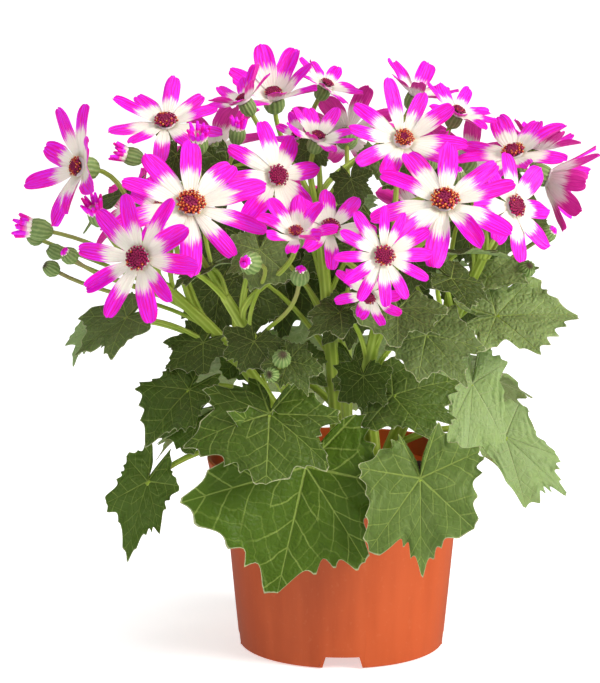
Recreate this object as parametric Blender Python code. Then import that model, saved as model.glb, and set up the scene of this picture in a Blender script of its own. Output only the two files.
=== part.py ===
"""A cineraria in a plastic nursery pot: pot, potting mix, leafy stems, and the rays and disc of each bloom.

Metres, +Z up. The origin is at the middle of the pot's flat underside, and the plant faces -Y.
"""

import math
import random

import bmesh
import bpy
import numpy as np

MM = 0.001
GAP = 0.3
FLAT_ANGLE = math.radians(0.5)

# Pot, in millimetres
POT_SIDES = 24
POT_FOOT_RADIUS = 54.5
POT_FOOT_ROUND = 1.2
POT_SHOULDER_RADIUS = 62.5
POT_SHOULDER_HEIGHT = 86.0
POT_BAND_RADIUS = 68.8
POT_BAND_BOTTOM = 87.5
POT_RIM_RADIUS = 71.2
POT_HEIGHT = 101.0
POT_WALL = 1.7
POT_LIP = 2.1
CHANNEL_COUNT = 4
CHANNEL_WIDE = 21.0
CHANNEL_NARROW = 17.4
CHANNEL_HEIGHT = 6.2
CHANNEL_START = 18.0
DRAIN_PLACE = 44.0
DRAIN_RADIUS = 3.6
DRAIN_SIDES = 6

# Potting mix
MIX_EDGE_HEIGHT = 88.5
MIX_CROWN = 4.0
HOLE_DEPTH = 22.0
STEM_HOLE_SIDES = 8

# Plant, in millimetres
STEM_SIDES = 5
STALK_SIDES = 3
STALK_STEPS = 3
SHORT_STALK = 45.0
STALK_RADIUS = 1.5
PETIOLE_RADIUS = 1.7
BLADE = 0.7
HUB = 1.4
DISC_SIDES = 6
CUP_SIDES = 4
BUD_SIDES = 5
ALTERNATE_TILT = 7.0
RAY_BASE_SHARE = 0.38
RAY_WIDTH = 0.66
LEAF_LOBES = 7
LEAF_NOTCH = 0.25
LEAF_WAVE = 0.08
LEAF_SPREAD = 0.16

# Each leafy stem: base radius, tip radius and its path from below the mix to its last fork
STEMS = {
    "stem_left": (4.6, 2.6, [(-16, 0, 69), (-22, -2, 100), (-42, -10, 138), (-66, -18, 170), (-92, -24, 196)]),
    "stem_front_left": (4.4, 2.6, [(-9, -12, 69), (-12, -18, 102), (-28, -36, 142), (-46, -50, 172), (-60, -56, 196)]),
    "stem_front_right": (4.6, 2.6, [(12, -14, 69), (16, -20, 104), (12, -38, 144), (16, -50, 174), (22, -56, 204)]),
    "stem_right": (4.6, 2.6, [(18, 4, 69), (26, 0, 104), (44, -10, 146), (60, -16, 182), (72, -22, 210)]),
    "stem_middle": (4.4, 2.4, [(0, 4, 69), (-2, 6, 110), (-6, 4, 160), (-10, 0, 205), (-14, -4, 235)]),
    "stem_back": (4.8, 2.8, [(2, 20, 69), (2, 28, 104), (2, 44, 146), (2, 58, 186), (4, 62, 214)]),
}

# Each bloom: place of its middle, turn and lift of its face in degrees, radius, number of rays,
# rise and bend of the rays in degrees, its stem, how far up the stem its stalk starts, and whether its disc shows
BLOOMS = {
    "bloom_01": ((-76, -84, 246), 8, 42, 39, 10, 8, -14, "stem_front_left", 1.0, True),
    "bloom_02": ((-99, -124, 226), -22, 10, 32, 10, 8, -10, "stem_front_left", 0.92, True),
    "bloom_03": ((-134, -34, 259), -54, 12, 33, 8, 26, -8, "stem_left", 0.96, True),
    "bloom_04": ((-91, -14, 279), 0, 56, 31, 10, 12, -12, "stem_left", 1.0, True),
    "bloom_05": ((-51, 3, 289), -75, 60, 22, 8, 34, -6, "stem_middle", 0.6, False),
    "bloom_06": ((-36, 38, 288), -8, 62, 31, 8, 40, -6, "stem_middle", 0.92, False),
    "bloom_07": ((-8, 62, 291), 60, 58, 22, 8, 18, -8, "stem_middle", 0.98, True),
    "bloom_08": ((-13, -28, 273), 35, 62, 22, 8, 28, 0, "stem_middle", 1.0, True),
    "bloom_09": ((-23, -6, 272), -55, 36, 15, 8, 36, 0, "stem_middle", 0.89, False),
    "bloom_10": ((-34, -48, 256), 30, 20, 29, 8, -6, -8, "stem_middle", 0.8, True),
    "bloom_11": ((-24, -97, 234), 0, 54, 22, 8, 30, -4, "stem_front_left", 0.84, True),
    "bloom_12": ((-7, -66, 232), 15, 42, 24, 8, 10, -6, "stem_front_right", 0.9, True),
    "bloom_13": ((18, -122, 227), 14, 12, 26, 12, 9, -8, "stem_front_right", 0.84, True),
    "bloom_14": ((12, -104, 205), -30, -30, 20, 8, 8, -8, "stem_front_right", 0.74, True),
    "bloom_15": ((30, -46, 274), 8, 38, 33, 10, 20, -12, "stem_front_right", 1.0, True),
    "bloom_16": ((40, 48, 288), 60, 66, 25, 8, 36, -6, "stem_middle", 0.95, False),
    "bloom_17": ((60, 8, 282), 55, 58, 23, 8, 22, -8, "stem_right", 1.0, True),
    "bloom_18": ((49, -86, 248), 2, 47, 38, 10, 9, -14, "stem_front_right", 0.96, True),
    "bloom_19": ((86, -44, 240), 45, 18, 30, 8, 9, -8, "stem_right", 0.92, True),
    "bloom_20": ((89, -4, 262), -30, 62, 31, 8, 14, -10, "stem_right", 0.97, True),
    "bloom_21": ((104, 36, 260), 110, 74, 24, 8, 38, -4, "stem_right", 0.8, False),
    "bloom_22": ((108, 8, 248), 85, -20, 32, 8, 54, -10, "stem_right", 0.86, True),
    "bloom_23": ((-93, -40, 238), -20, 26, 19, 8, 10, -6, "stem_left", 0.8, False),
    "bloom_24": ((46, -6, 262), 170, 76, 19, 8, 38, -4, "stem_right", 0.94, False),
    "bloom_25": ((-68, 66, 258), -150, 48, 32, 8, 10, -10, "stem_back", 0.96, True),
    "bloom_26": ((4, 96, 262), 178, 40, 34, 8, 10, -12, "stem_back", 1.0, True),
    "bloom_27": ((70, 74, 250), 150, 42, 32, 8, 10, -10, "stem_back", 0.92, True),
    "bloom_28": ((-112, 40, 226), -118, 24, 29, 8, 10, -8, "stem_back", 0.8, False),
    "bloom_29": ((-34, 116, 216), -165, 14, 29, 8, 8, -8, "stem_back", 0.84, True),
    "bloom_30": ((44, 116, 214), 165, 14, 29, 8, 8, -8, "stem_back", 0.75, False),
}

# Each large leaf: where its stalk meets the blade, the way from there to its tip, the way its upper face looks,
# width factor, droop, its stem and how far up the stem its stalk starts
LARGE_LEAVES = {
    "front_low": ((-19, -82, 114), (-25, -14, -67), (0.16, -1.0, 0.2), 0.92, 0.05, "stem_front_left", 0.16),
    "front_mid": ((-37, -88, 142), (-8, -30, -32), (0.0, -0.7, 0.7), 1.10, 0.20, "stem_front_left", 0.38),
    "front_right": ((38, -91, 110), (4, -14, -48), (0.0, -1.0, 0.2), 0.88, 0.12, "stem_front_right", 0.18),
    "left_droop": ((-102, -14, 90), (-16, -14, -36), (-0.3, -0.9, 0.35), 0.60, 0.12, "stem_left", 0.20),
    "left_cluster": ((-79, -38, 144), (-25, -16, -20), (-0.2, -0.7, 0.7), 0.80, 0.30, "stem_left", 0.42),
    "right_droop": ((67, -30, 146), (0, -16, -52), (0.5, -0.8, 0.3), 0.54, 0.10, "stem_right", 0.36),
    "right_outer": ((86, -4, 112), (36, -4, -36), (0.3, -0.9, 0.3), 0.50, 0.15, "stem_right", 0.24),
    "right_high": ((79, -30, 181), (46, -2, 2), (0.0, -0.7, 0.8), 0.74, 0.20, "stem_right", 0.58),
    "back_left": ((-58, 52, 142), (-50, 26, -34), (-0.4, 0.5, 0.8), 0.80, 0.20, "stem_back", 0.30),
    "back_mid": ((-8, 88, 138), (-8, 44, -44), (0.0, 0.8, 0.7), 0.88, 0.20, "stem_back", 0.26),
    "back_right": ((60, 58, 140), (44, 32, -36), (0.5, 0.5, 0.8), 0.80, 0.20, "stem_back", 0.34),
    "dark_middle": ((25, -62, 146), (38, -14, -6), (0.0, -0.7, 0.7), 0.76, 0.30, "stem_front_right", 0.38),
}

# The smaller leaves, in the same terms
SMALL_LEAVES = {
    "upper_left": ((-111, -34, 181), (-27, -13, -12), (-0.2, -0.6, 0.8), 0.85, 0.3, "stem_left", 0.58),
    "far_left": ((-128, -2, 171), (-18, -6, -17), (-0.6, -0.5, 0.6), 0.75, 0.3, "stem_left", 0.64),
    "crinkled": ((41, -78, 180), (18, -22, -18), (0.0, -0.8, 0.6), 0.95, 0.3, "stem_front_right", 0.55),
    "under_blooms": ((27, -76, 193), (-6, -22, -14), (0.0, -0.6, 0.8), 1.25, 0.3, "stem_front_right", 0.68),
    "middle_fold": ((-2, -70, 190), (-14, -16, -6), (0.0, -0.6, 0.8), 0.85, 0.3, "stem_front_right", 0.62),
    "inner_a": ((-45, -74, 176), (-6, -14, -14), (0.0, -0.7, 0.7), 1.05, 0.3, "stem_front_left", 0.62),
    "inner_c": ((-28, -84, 168), (10, -14, -12), (0.0, -0.8, 0.6), 0.95, 0.3, "stem_front_left", 0.54),
    "behind_bud": ((-42, -72, 222), (-2, -10, -22), (0.0, -1.0, 0.3), 0.95, 0.2, "stem_front_left", 0.88),
    "edge_left": ((-112, -12, 242), (-26, -4, -16), (-0.4, -0.1, 0.9), 0.70, 0.2, "stem_left", 0.77),
    "edge_mid": ((-66, -58, 212), (-24, -10, -8), (0.0, 0.0, 1.0), 0.65, 0.2, "stem_front_left", 0.96),
    "right_light": ((75, -22, 200), (28, -4, 9), (0.0, -0.6, 0.8), 0.55, 0.2, "stem_right", 0.6),
    "left_inner": ((-72, -24, 166), (-21, -10, -13), (-0.2, -0.6, 0.8), 0.90, 0.3, "stem_left", 0.5),
    "gap_left": ((-64, 12, 192), (0, -8, -28), (0.0, -1.0, 0.2), 1.0, 0.2, "stem_middle", 0.5),
    "gap_centre": ((-30, 26, 192), (0, -10, -32), (0.0, -1.0, 0.2), 1.05, 0.2, "stem_middle", 0.56),
    "right_edge": ((56, -34, 214), (32, 4, 2), (0.0, 0.1, 1.0), 0.55, 0.1, "stem_right", 0.74),
    "right_fold": ((54, -62, 206), (22, -8, -10), (0.0, -0.5, 0.8), 0.65, 0.3, "stem_right", 0.66),
    "bright_low": ((10, -62, 156), (-1, -12, -18), (0.0, -0.9, 0.4), 0.90, 0.3, "stem_front_right", 0.47),
    "top_left": ((-56, 12, 262), (-12, 4, 0), (0.0, 0.0, 1.0), 0.85, 0.2, "stem_middle", 0.77),
    "top_middle": ((4, -30, 252), (3, -8, -16), (0.0, -1.0, 0.3), 0.85, 0.2, "stem_middle", 0.74),
    "top_right": ((94, -14, 231), (16, -4, -8), (0.2, -0.5, 0.8), 0.85, 0.2, "stem_right", 0.83),
    "low_left": ((-70, 10, 120), (-34, 14, -20), (-0.4, 0.2, 0.8), 0.85, 0.3, "stem_left", 0.26),
    "back_high_left": ((-44, 72, 196), (-30, 14, -12), (-0.2, 0.5, 0.8), 0.90, 0.3, "stem_back", 0.64),
    "back_high_right": ((46, 76, 194), (30, 16, -12), (0.2, 0.5, 0.8), 0.90, 0.3, "stem_back", 0.7),
    "back_top": ((2, 80, 226), (2, 26, -10), (0.0, 0.5, 0.8), 0.90, 0.3, "stem_back", 0.88),
    "behind_left": ((-52, 16, 208), (-12, -8, -38), (0.0, -1.0, 0.2), 1.0, 0.2, "stem_middle", 0.62),
    "behind_centre": ((-20, 22, 224), (2, -8, -38), (0.0, -1.0, 0.2), 1.0, 0.2, "stem_middle", 0.74),
    "behind_right": ((22, 14, 216), (6, -8, -38), (0.0, -1.0, 0.2), 1.0, 0.2, "stem_middle", 0.68),
    "behind_far_right": ((71, 14, 226), (8, -4, -34), (0.2, -1.0, 0.2), 0.8, 0.2, "stem_right", 0.62),
    "high_left": ((-60, 22, 252), (-8, -6, -26), (0.0, -1.0, 0.3), 0.9, 0.2, "stem_middle", 0.82),
    "high_right": ((36, 20, 258), (8, -6, -26), (0.0, -1.0, 0.3), 0.9, 0.2, "stem_middle", 0.9),
}

# Each bud: its middle, the way it points, its radius, whether it is half open, its stem and the stalk's start
BUDS = {
    "half_open_a": ((-157, -20, 225), (-1.0, 0.0, 0.2), 5.5, True, "stem_left", 0.86),
    "half_open_b": ((-108, -30, 264), (-1.0, -0.2, 0.3), 4.6, True, "stem_left", 0.9),
    "half_open_c": ((-73, -43, 272), (0.0, -0.5, 0.8), 4.6, True, "stem_front_left", 0.98),
    "half_open_d": ((-54, -26, 275), (0.1, -0.2, 1.0), 4.2, True, "stem_left", 0.98),
    "half_open_e": ((-125, -40, 235), (-0.3, -0.5, 0.8), 4.8, True, "stem_left", 0.78),
    "bud_left_a": ((-149, -12, 212), (-0.7, 0.0, 0.4), 4.2, False, "stem_left", 0.74),
    "bud_left_b": ((-150, -24, 205), (-0.6, -0.3, 0.4), 4.2, False, "stem_left", 0.7),
    "bud_left_c": ((-140, -32, 213), (-0.5, -0.4, 0.5), 4.4, False, "stem_left", 0.82),
    "bud_left_d": ((-160, -4, 218), (-0.8, 0.1, 0.3), 4.0, False, "stem_left", 0.8),
    "bud_front_a": ((-46, -106, 221), (-0.5, -0.8, 0.2), 5.6, False, "stem_front_left", 0.78),
    "bud_front_b": ((-22, -104, 214), (0.1, -0.4, 0.9), 4.6, False, "stem_front_left", 0.7),
    "bud_middle_a": ((-31, -98, 172), (0.1, -0.8, 0.6), 4.6, False, "stem_front_left", 0.58),
    "bud_middle_b": ((-36, -98, 164), (-0.3, -0.9, 0.2), 3.8, False, "stem_front_left", 0.52),
    "bud_right_a": ((95, -24, 205), (0.2, -0.8, 0.5), 4.4, False, "stem_right", 0.7),
    "bud_right_b": ((106, -16, 222), (0.6, -0.4, 0.5), 4.4, False, "stem_right", 0.77),
    "bud_top": ((58, -36, 254), (0.0, -0.3, 1.0), 4.4, False, "stem_right", 0.89),
}

COLOURS = {
    "pot": ((0.62, 0.17, 0.06), 0.38),
    "mix": ((0.06, 0.03, 0.02), 0.95),
    "green": ((0.16, 0.30, 0.10), 0.60),
    "rays": ((0.85, 0.02, 0.45), 0.50),
    "disc": ((0.14, 0.01, 0.06), 0.70),
}


def clear_scene():
    for item in list(bpy.data.objects):
        bpy.data.objects.remove(item)


def material(name):
    """One Principled material from the colour table."""
    colour, roughness = COLOURS[name]
    made = bpy.data.materials.new(name)
    made.use_nodes = True
    shader = made.node_tree.nodes["Principled BSDF"]
    shader.inputs["Base Color"].default_value = (*colour, 1.0)
    shader.inputs["Roughness"].default_value = roughness
    return made


def unit(vector):
    vector = np.asarray(vector, float)
    return vector / np.linalg.norm(vector)


def volume(points, faces):
    """Signed volume of a closed triangle mesh."""
    corners = points[np.array(faces)]
    return np.einsum("ij,ij->i", corners[:, 0], np.cross(corners[:, 1], corners[:, 2])).sum() / 6.0


def solid(name, shape, finish=None, cutter=False):
    """A mesh object from points in millimetres and triangles, turned so that its faces point out."""
    points, faces = shape
    points = np.array(points, float)
    if volume(points, faces) < 0:
        faces = [face[::-1] for face in faces]
    mesh = bpy.data.meshes.new(name)
    mesh.from_pydata((points * MM).tolist(), [], [tuple(int(i) for i in face) for face in faces])
    made = bpy.data.objects.new(name, mesh)
    bpy.context.scene.collection.objects.link(made)
    if finish:
        mesh.materials.append(finish)
    if cutter:
        made.hide_render = True
        made.display_type = "WIRE"
    return made


def strip(first, second, closed=True):
    """Triangles between two rows of points of the same length."""
    count = len(first)
    faces = []
    for i in range(count if closed else count - 1):
        j = (i + 1) % count
        faces.append((first[i], first[j], second[j]))
        faces.append((first[i], second[j], second[i]))
    return faces


def fan(row, middle):
    return [(row[i], row[(i + 1) % len(row)], middle) for i in range(len(row))]


def frames(path):
    """Unit tangents of a path, with two sides carried along it without twist."""
    path = np.asarray(path, float)
    tangents = np.gradient(path, axis=0)
    tangents /= np.linalg.norm(tangents, axis=1)[:, None]
    side = unit(np.cross(tangents[0], (0.31, 0.95, 0.1)))
    sides = []
    for tangent in tangents:
        side = unit(side - tangent * np.dot(side, tangent))
        sides.append(side)
    sides = np.array(sides)
    return tangents, sides, np.cross(tangents, sides)


def tube(path, radii, sides):
    """A round rod along a path, closed at both ends."""
    path = np.asarray(path, float)
    _, left, up = frames(path)
    angles = 2 * math.pi * np.arange(sides) / sides
    points = []
    rows = []
    for place, radius, a, b in zip(path, radii, left, up):
        rows.append(range(len(points), len(points) + sides))
        points += [place + radius * (math.cos(t) * a + math.sin(t) * b) for t in angles]
    faces = []
    for lower, upper in zip(rows, rows[1:]):
        faces += strip(lower, upper)
    points += [path[0], path[-1]]
    faces += [face[::-1] for face in fan(rows[0], len(points) - 2)]
    faces += fan(rows[-1], len(points) - 1)
    return np.array(points), faces


def turned(profile, sides):
    """A profile of (radius, height) points turned about Z, from one point on the axis to another."""
    points = [(0, 0, profile[0][1])]
    rows = []
    angles = 2 * math.pi * np.arange(sides) / sides
    for radius, height in profile[1:-1]:
        rows.append(range(len(points), len(points) + sides))
        points += [(radius * math.cos(t), radius * math.sin(t), height) for t in angles]
    points.append((0, 0, profile[-1][1]))
    faces = [face[::-1] for face in fan(rows[0], 0)]
    for lower, upper in zip(rows, rows[1:]):
        faces += strip(lower, upper)
    faces += fan(rows[-1], len(points) - 1)
    return np.array(points, float), faces


def prism(outline, start, finish, turn):
    """An outline of (across, height) points carried along the radius at an angle, from start to finish."""
    outward = np.array((math.cos(turn), math.sin(turn), 0))
    across = np.array((-math.sin(turn), math.cos(turn), 0))
    points = []
    for distance in (start, finish):
        points += [outward * distance + across * a + np.array((0, 0, h)) for a, h in outline]
    count = len(outline)
    near = range(count)
    far = range(count, 2 * count)
    faces = strip(near, far)
    faces += [(0, i + 1, i) for i in range(1, count - 1)]
    faces += [(count, count + i, count + i + 1) for i in range(1, count - 1)]
    return np.array(points), faces


def combine(target, others, operation, solver="EXACT"):
    """One Boolean of the target with a collection of solids, applied, after which the solids are removed."""
    group = bpy.data.collections.new(target.name + "_group")
    for other in others:
        group.objects.link(other)
    change = target.modifiers.new("combine", "BOOLEAN")
    change.operation = operation
    change.operand_type = "COLLECTION"
    change.collection = group
    change.solver = solver
    graph = bpy.context.evaluated_depsgraph_get()
    mesh = bpy.data.meshes.new_from_object(target.evaluated_get(graph))
    target.modifiers.clear()
    target.data = mesh
    shape = bmesh.new()
    shape.from_mesh(mesh)
    bmesh.ops.dissolve_limit(shape, angle_limit=FLAT_ANGLE, verts=shape.verts, edges=shape.edges)
    bmesh.ops.triangulate(shape, faces=shape.faces)
    shape.to_mesh(mesh)
    shape.free()
    for other in others:
        bpy.data.objects.remove(other)
    bpy.data.collections.remove(group)


def along(path, share):
    """The point at a share of a path's length, and the direction there."""
    path = np.asarray(path, float)
    steps = np.linalg.norm(np.diff(path, axis=0), axis=1)
    want = share * steps.sum()
    for i, step in enumerate(steps):
        if want <= step or i == len(steps) - 1:
            return path[i] + (path[i + 1] - path[i]) * min(want / step, 1.0), unit(path[i + 1] - path[i])
        want -= step
    return path[-1], unit(path[-1] - path[-2])


def bend(start, start_way, end, end_way, steps):
    """A cubic curve that leaves the start and reaches the end in the given directions."""
    start = np.asarray(start, float)
    end = np.asarray(end, float)
    reach = np.linalg.norm(end - start) * 0.36
    handles = (start, start + unit(start_way) * reach, end - unit(end_way) * reach, end)
    t = np.linspace(0, 1, steps + 1)[:, None]
    weights = ((1 - t) ** 3, 3 * (1 - t) ** 2 * t, 3 * (1 - t) * t**2, t**3)
    return sum(weight * handle for weight, handle in zip(weights, handles))


def face_frame(turn, lift):
    """Outward direction of a bloom's face, and two directions in the plane of its rays."""
    turn = math.radians(turn)
    lift = math.radians(lift)
    out = np.array((math.cos(lift) * math.sin(turn), -math.cos(lift) * math.cos(turn), math.sin(lift)))
    across = np.array((math.cos(turn), math.sin(turn), 0.0))
    return out, across, np.cross(out, across)


def hub_radius(radius):
    return 1.0 + 0.155 * radius


def ray_ring(name, bloom):
    """Hub and rays of a bloom in one closed mesh. Neighbouring rays tilt up and down in turn, so they stay clear."""
    middle, turn, lift, radius, count, rise, curl = bloom[:7]
    chance = random.Random(name)
    out, across, upward = face_frame(turn, lift)
    hub = hub_radius(radius)
    sector = 2 * math.pi / count
    half_width = RAY_WIDTH * math.pi * (hub + 0.6 * (radius - hub)) / count
    phase = chance.uniform(0, sector)
    points = []
    faces = []
    rim_top = []
    rim_bottom = []
    for i in range(count):
        angle = phase + (i + chance.uniform(-0.07, 0.07)) * sector
        length = (radius - hub) * (1 + chance.uniform(-0.12, 0.05))
        tilt = math.radians(rise + ALTERNATE_TILT * (-1) ** i + chance.uniform(-3, 3))
        bending = math.radians(curl + chance.uniform(-10, 10))
        twist = math.radians(chance.uniform(-12, 12))
        away = math.cos(angle) * across + math.sin(angle) * upward
        rows = []
        for share, wide in ((0.0, None), (0.5, 1.0), (1.0, 0.55)):
            slope = tilt + bending * share
            travel = tilt + bending * share / 2
            place = away * (hub + length * share * math.cos(travel)) + out * length * share * math.sin(travel)
            side = -math.sin(angle) * across + math.cos(angle) * upward
            normal = out * math.cos(slope) - away * math.sin(slope)
            side, normal = (
                side * math.cos(twist * share) + normal * math.sin(twist * share),
                normal * math.cos(twist * share) - side * math.sin(twist * share),
            )
            half = half_width * wide if wide else hub * math.sin(RAY_BASE_SHARE * sector)
            if wide is None:
                place = away * hub * math.cos(RAY_BASE_SHARE * sector)
                normal = out
            thick = (BLADE if wide else HUB) / 2
            row = range(len(points), len(points) + 4)
            corners = ((-half, thick), (half, thick), (half, -thick), (-half, -thick))
            points += [place + side * a + normal * b for a, b in corners]
            rows.append(row)
        for lower, upper in zip(rows, rows[1:]):
            faces += strip(lower, upper)
        tip = rows[-1]
        faces += [(tip[0], tip[1], tip[2]), (tip[0], tip[2], tip[3])]
        base = rows[0]
        rim_top += [base[0], base[1]]
        rim_bottom += [base[3], base[2]]
    for i in range(count):
        j = (2 * i + 1) % (2 * count)
        k = (2 * i + 2) % (2 * count)
        faces.append((rim_top[j], rim_top[k], rim_bottom[k]))
        faces.append((rim_top[j], rim_bottom[k], rim_bottom[j]))
    points += [out * HUB / 2, -out * HUB / 2]
    faces += [face[::-1] for face in fan(rim_top, len(points) - 2)]
    faces += fan(rim_bottom, len(points) - 1)
    return np.array(points) + np.array(middle, float), faces


def floret_disc(bloom):
    """The disc of florets: a crown that widens over the rays, with a toothed shoulder."""
    middle, turn, lift, radius, _, rise, _ = bloom[:7]
    out, across, upward = face_frame(turn, lift)
    hub = hub_radius(radius)
    wide = hub * (1.18 if rise < 17 else 0.86)
    base = HUB / 2 + GAP
    levels = ((0.62 * hub, base, 0), (wide, base + 0.30 * hub, 0.09), (0.72 * wide, base + 0.62 * hub, 0.12))
    points = []
    rows = []
    for ring, height, tooth in levels:
        rows.append(range(len(points), len(points) + DISC_SIDES))
        for i in range(DISC_SIDES):
            angle = 2 * math.pi * i / DISC_SIDES
            reach = ring * (1 + tooth * (-1) ** i)
            rise_here = height + hub * tooth * (-1) ** i
            away = math.cos(angle) * across + math.sin(angle) * upward
            points.append(away * reach + out * rise_here)
    points += [out * base, out * (base + 0.66 * hub)]
    faces = [face[::-1] for face in fan(rows[0], len(points) - 2)]
    for lower, upper in zip(rows, rows[1:]):
        faces += strip(lower, upper)
    faces += fan(rows[-1], len(points) - 1)
    return np.array(points) + np.array(middle, float), faces


def spindle(start, way, levels, sides):
    """A closed body of rings (distance along the way, radius), with a point at each end."""
    start = np.asarray(start, float)
    way = unit(way)
    side = unit(np.cross(way, (0.2, 0.3, 0.93) if abs(way[2]) < 0.9 else (1, 0, 0)))
    other = np.cross(way, side)
    points = [start + way * levels[0][0]]
    rows = []
    for distance, radius in levels[1:-1]:
        rows.append(range(len(points), len(points) + sides))
        for i in range(sides):
            angle = 2 * math.pi * i / sides
            points.append(start + way * distance + radius * (math.cos(angle) * side + math.sin(angle) * other))
    points.append(start + way * levels[-1][0])
    faces = [face[::-1] for face in fan(rows[0], 0)]
    for lower, upper in zip(rows, rows[1:]):
        faces += strip(lower, upper)
    faces += fan(rows[-1], len(points) - 1)
    return np.array(points), faces


def cup_depth(radius):
    return 3.0 + 1.15 * hub_radius(radius)


def flower_cup(bloom):
    """The green cup that carries a bloom's hub."""
    middle, turn, lift, radius = bloom[:4]
    out = face_frame(turn, lift)[0]
    hub = hub_radius(radius)
    depth = cup_depth(radius)
    top = -HUB / 2 - GAP
    levels = (
        (top - depth, 0),
        (top - depth, 0.34 * hub),
        (top - 0.62 * depth, 0.92 * hub),
        (top, 0.86 * hub),
        (top, 0),
    )
    return spindle(middle, out, levels, CUP_SIDES)


def bud(middle, way, radius, half_open):
    """A closed bud, or a half-open one whose young rays stand up out of the cup."""
    if half_open:
        levels = (
            (-1.5 * radius, 0),
            (-1.3 * radius, 0.5 * radius),
            (-0.2 * radius, radius),
            (0.4 * radius, 0.9 * radius),
            (2.4 * radius, 1.3 * radius),
            (1.6 * radius, 0),
        )
    else:
        levels = (
            (-1.1 * radius, 0),
            (-0.8 * radius, 0.6 * radius),
            (0.2 * radius, radius),
            (1.1 * radius, 0.5 * radius),
            (1.2 * radius, 0),
        )
    return spindle(middle, way, levels, BUD_SIDES)


def leaf_frame(tip, face):
    """Axis, side and upper normal of a leaf, from the way to its tip and the way its upper face looks."""
    axis = unit(tip)
    normal = np.asarray(face, float)
    normal = unit(normal - axis * np.dot(normal, axis))
    return axis, np.cross(normal, axis), normal


def leaf_reach(angle, sway):
    """Outline of a palmate leaf: distance from the stalk's joint to the edge, as a share of its length."""
    envelope = 0.52 + 0.48 * abs(math.cos(angle / 2)) ** 1.2
    notch = 1 - 0.82 * math.exp(-(((math.pi - abs(angle)) / 0.3) ** 2))
    uneven = 1 + 0.06 * math.sin(2 * angle + sway) + 0.05 * math.sin(5 * angle + 2 * sway)
    return envelope * notch * uneven * (1 - LEAF_NOTCH * abs(math.sin(LEAF_LOBES * angle / 2)))


def leaf_bearing(angle, sway):
    """Direction of an outline point in the blade's plane: the lobes stand a little unevenly round the joint."""
    return angle + LEAF_SPREAD * math.cos(angle / 2) * math.sin(2 * angle + 3 * sway)


def leaf_height(x, y, size, droop, phase, fold):
    """Height of the blade over its flat plane: it droops to the tip and sides and waves round its edge."""
    reach = math.hypot(x, y) / size
    ripple = LEAF_WAVE * size * reach**2 * math.sin(3 * math.atan2(y, x) + phase)
    return ripple - droop * (x * abs(x) * 0.8 + y * y * 0.5) / size + fold * abs(y)


def leaf(name, entry, large):
    """A lobed blade of even thickness, split into triangles alike on both faces."""
    place, tip, face, wide, droop = entry[:5]
    chance = random.Random(name)
    axis, side, normal = leaf_frame(tip, face)
    size = float(np.linalg.norm(tip))
    step = 2 * math.pi / LEAF_LOBES
    phase = chance.uniform(0, 6)
    sway = chance.uniform(0, 6)
    fold = chance.uniform(0.05, 0.26)
    outline = []
    for k in range(-3, 4):
        outline.append((k - 0.5) * step if k > -3 else -math.pi)
        if large:
            outline += [(k - 0.2) * step, k * step, (k + 0.2) * step]
        else:
            outline.append(k * step)
    edge = []
    for i, angle in enumerate(outline):
        reach = leaf_reach(angle, sway) * size
        if large and i % 4 in (1, 3):
            reach *= 0.97
        bearing = leaf_bearing(angle, sway)
        edge.append((reach * math.cos(bearing), reach * math.sin(bearing) * wide))
    inner = []
    if large:
        for k in range(-3, 4):
            reach = leaf_reach(k * step, sway) * size * 0.5
            bearing = leaf_bearing(k * step, sway)
            inner.append((reach * math.cos(bearing), reach * math.sin(bearing) * wide))
    flat = [(0.0, 0.0)] + inner + edge
    points = []
    for thick in (BLADE / 2, -BLADE / 2):
        for x, y in flat:
            height = leaf_height(x, y, size, droop, phase, fold) + thick
            points.append(np.array(place, float) + axis * x + side * y + normal * height)
    count = len(flat)
    first_edge = 1 + len(inner)
    rim = list(range(first_edge, count))
    top = []
    if large:
        ring = list(range(1, first_edge))
        top += fan(ring, 0)
        for k, spot in enumerate(ring):
            four = [rim[(4 * k + j) % len(rim)] for j in range(5)]
            top += [(spot, four[j], four[j + 1]) for j in range(4)]
            top.append((spot, four[4], ring[(k + 1) % len(ring)]))
    else:
        top += fan(rim, 0)
    faces = list(top)
    faces += [tuple(i + count for i in face[::-1]) for face in top]
    for i, corner in enumerate(rim):
        following = rim[(i + 1) % len(rim)]
        faces.append((following, corner, corner + count))
        faces.append((following, corner + count, following + count))
    return np.array(points), faces


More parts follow.
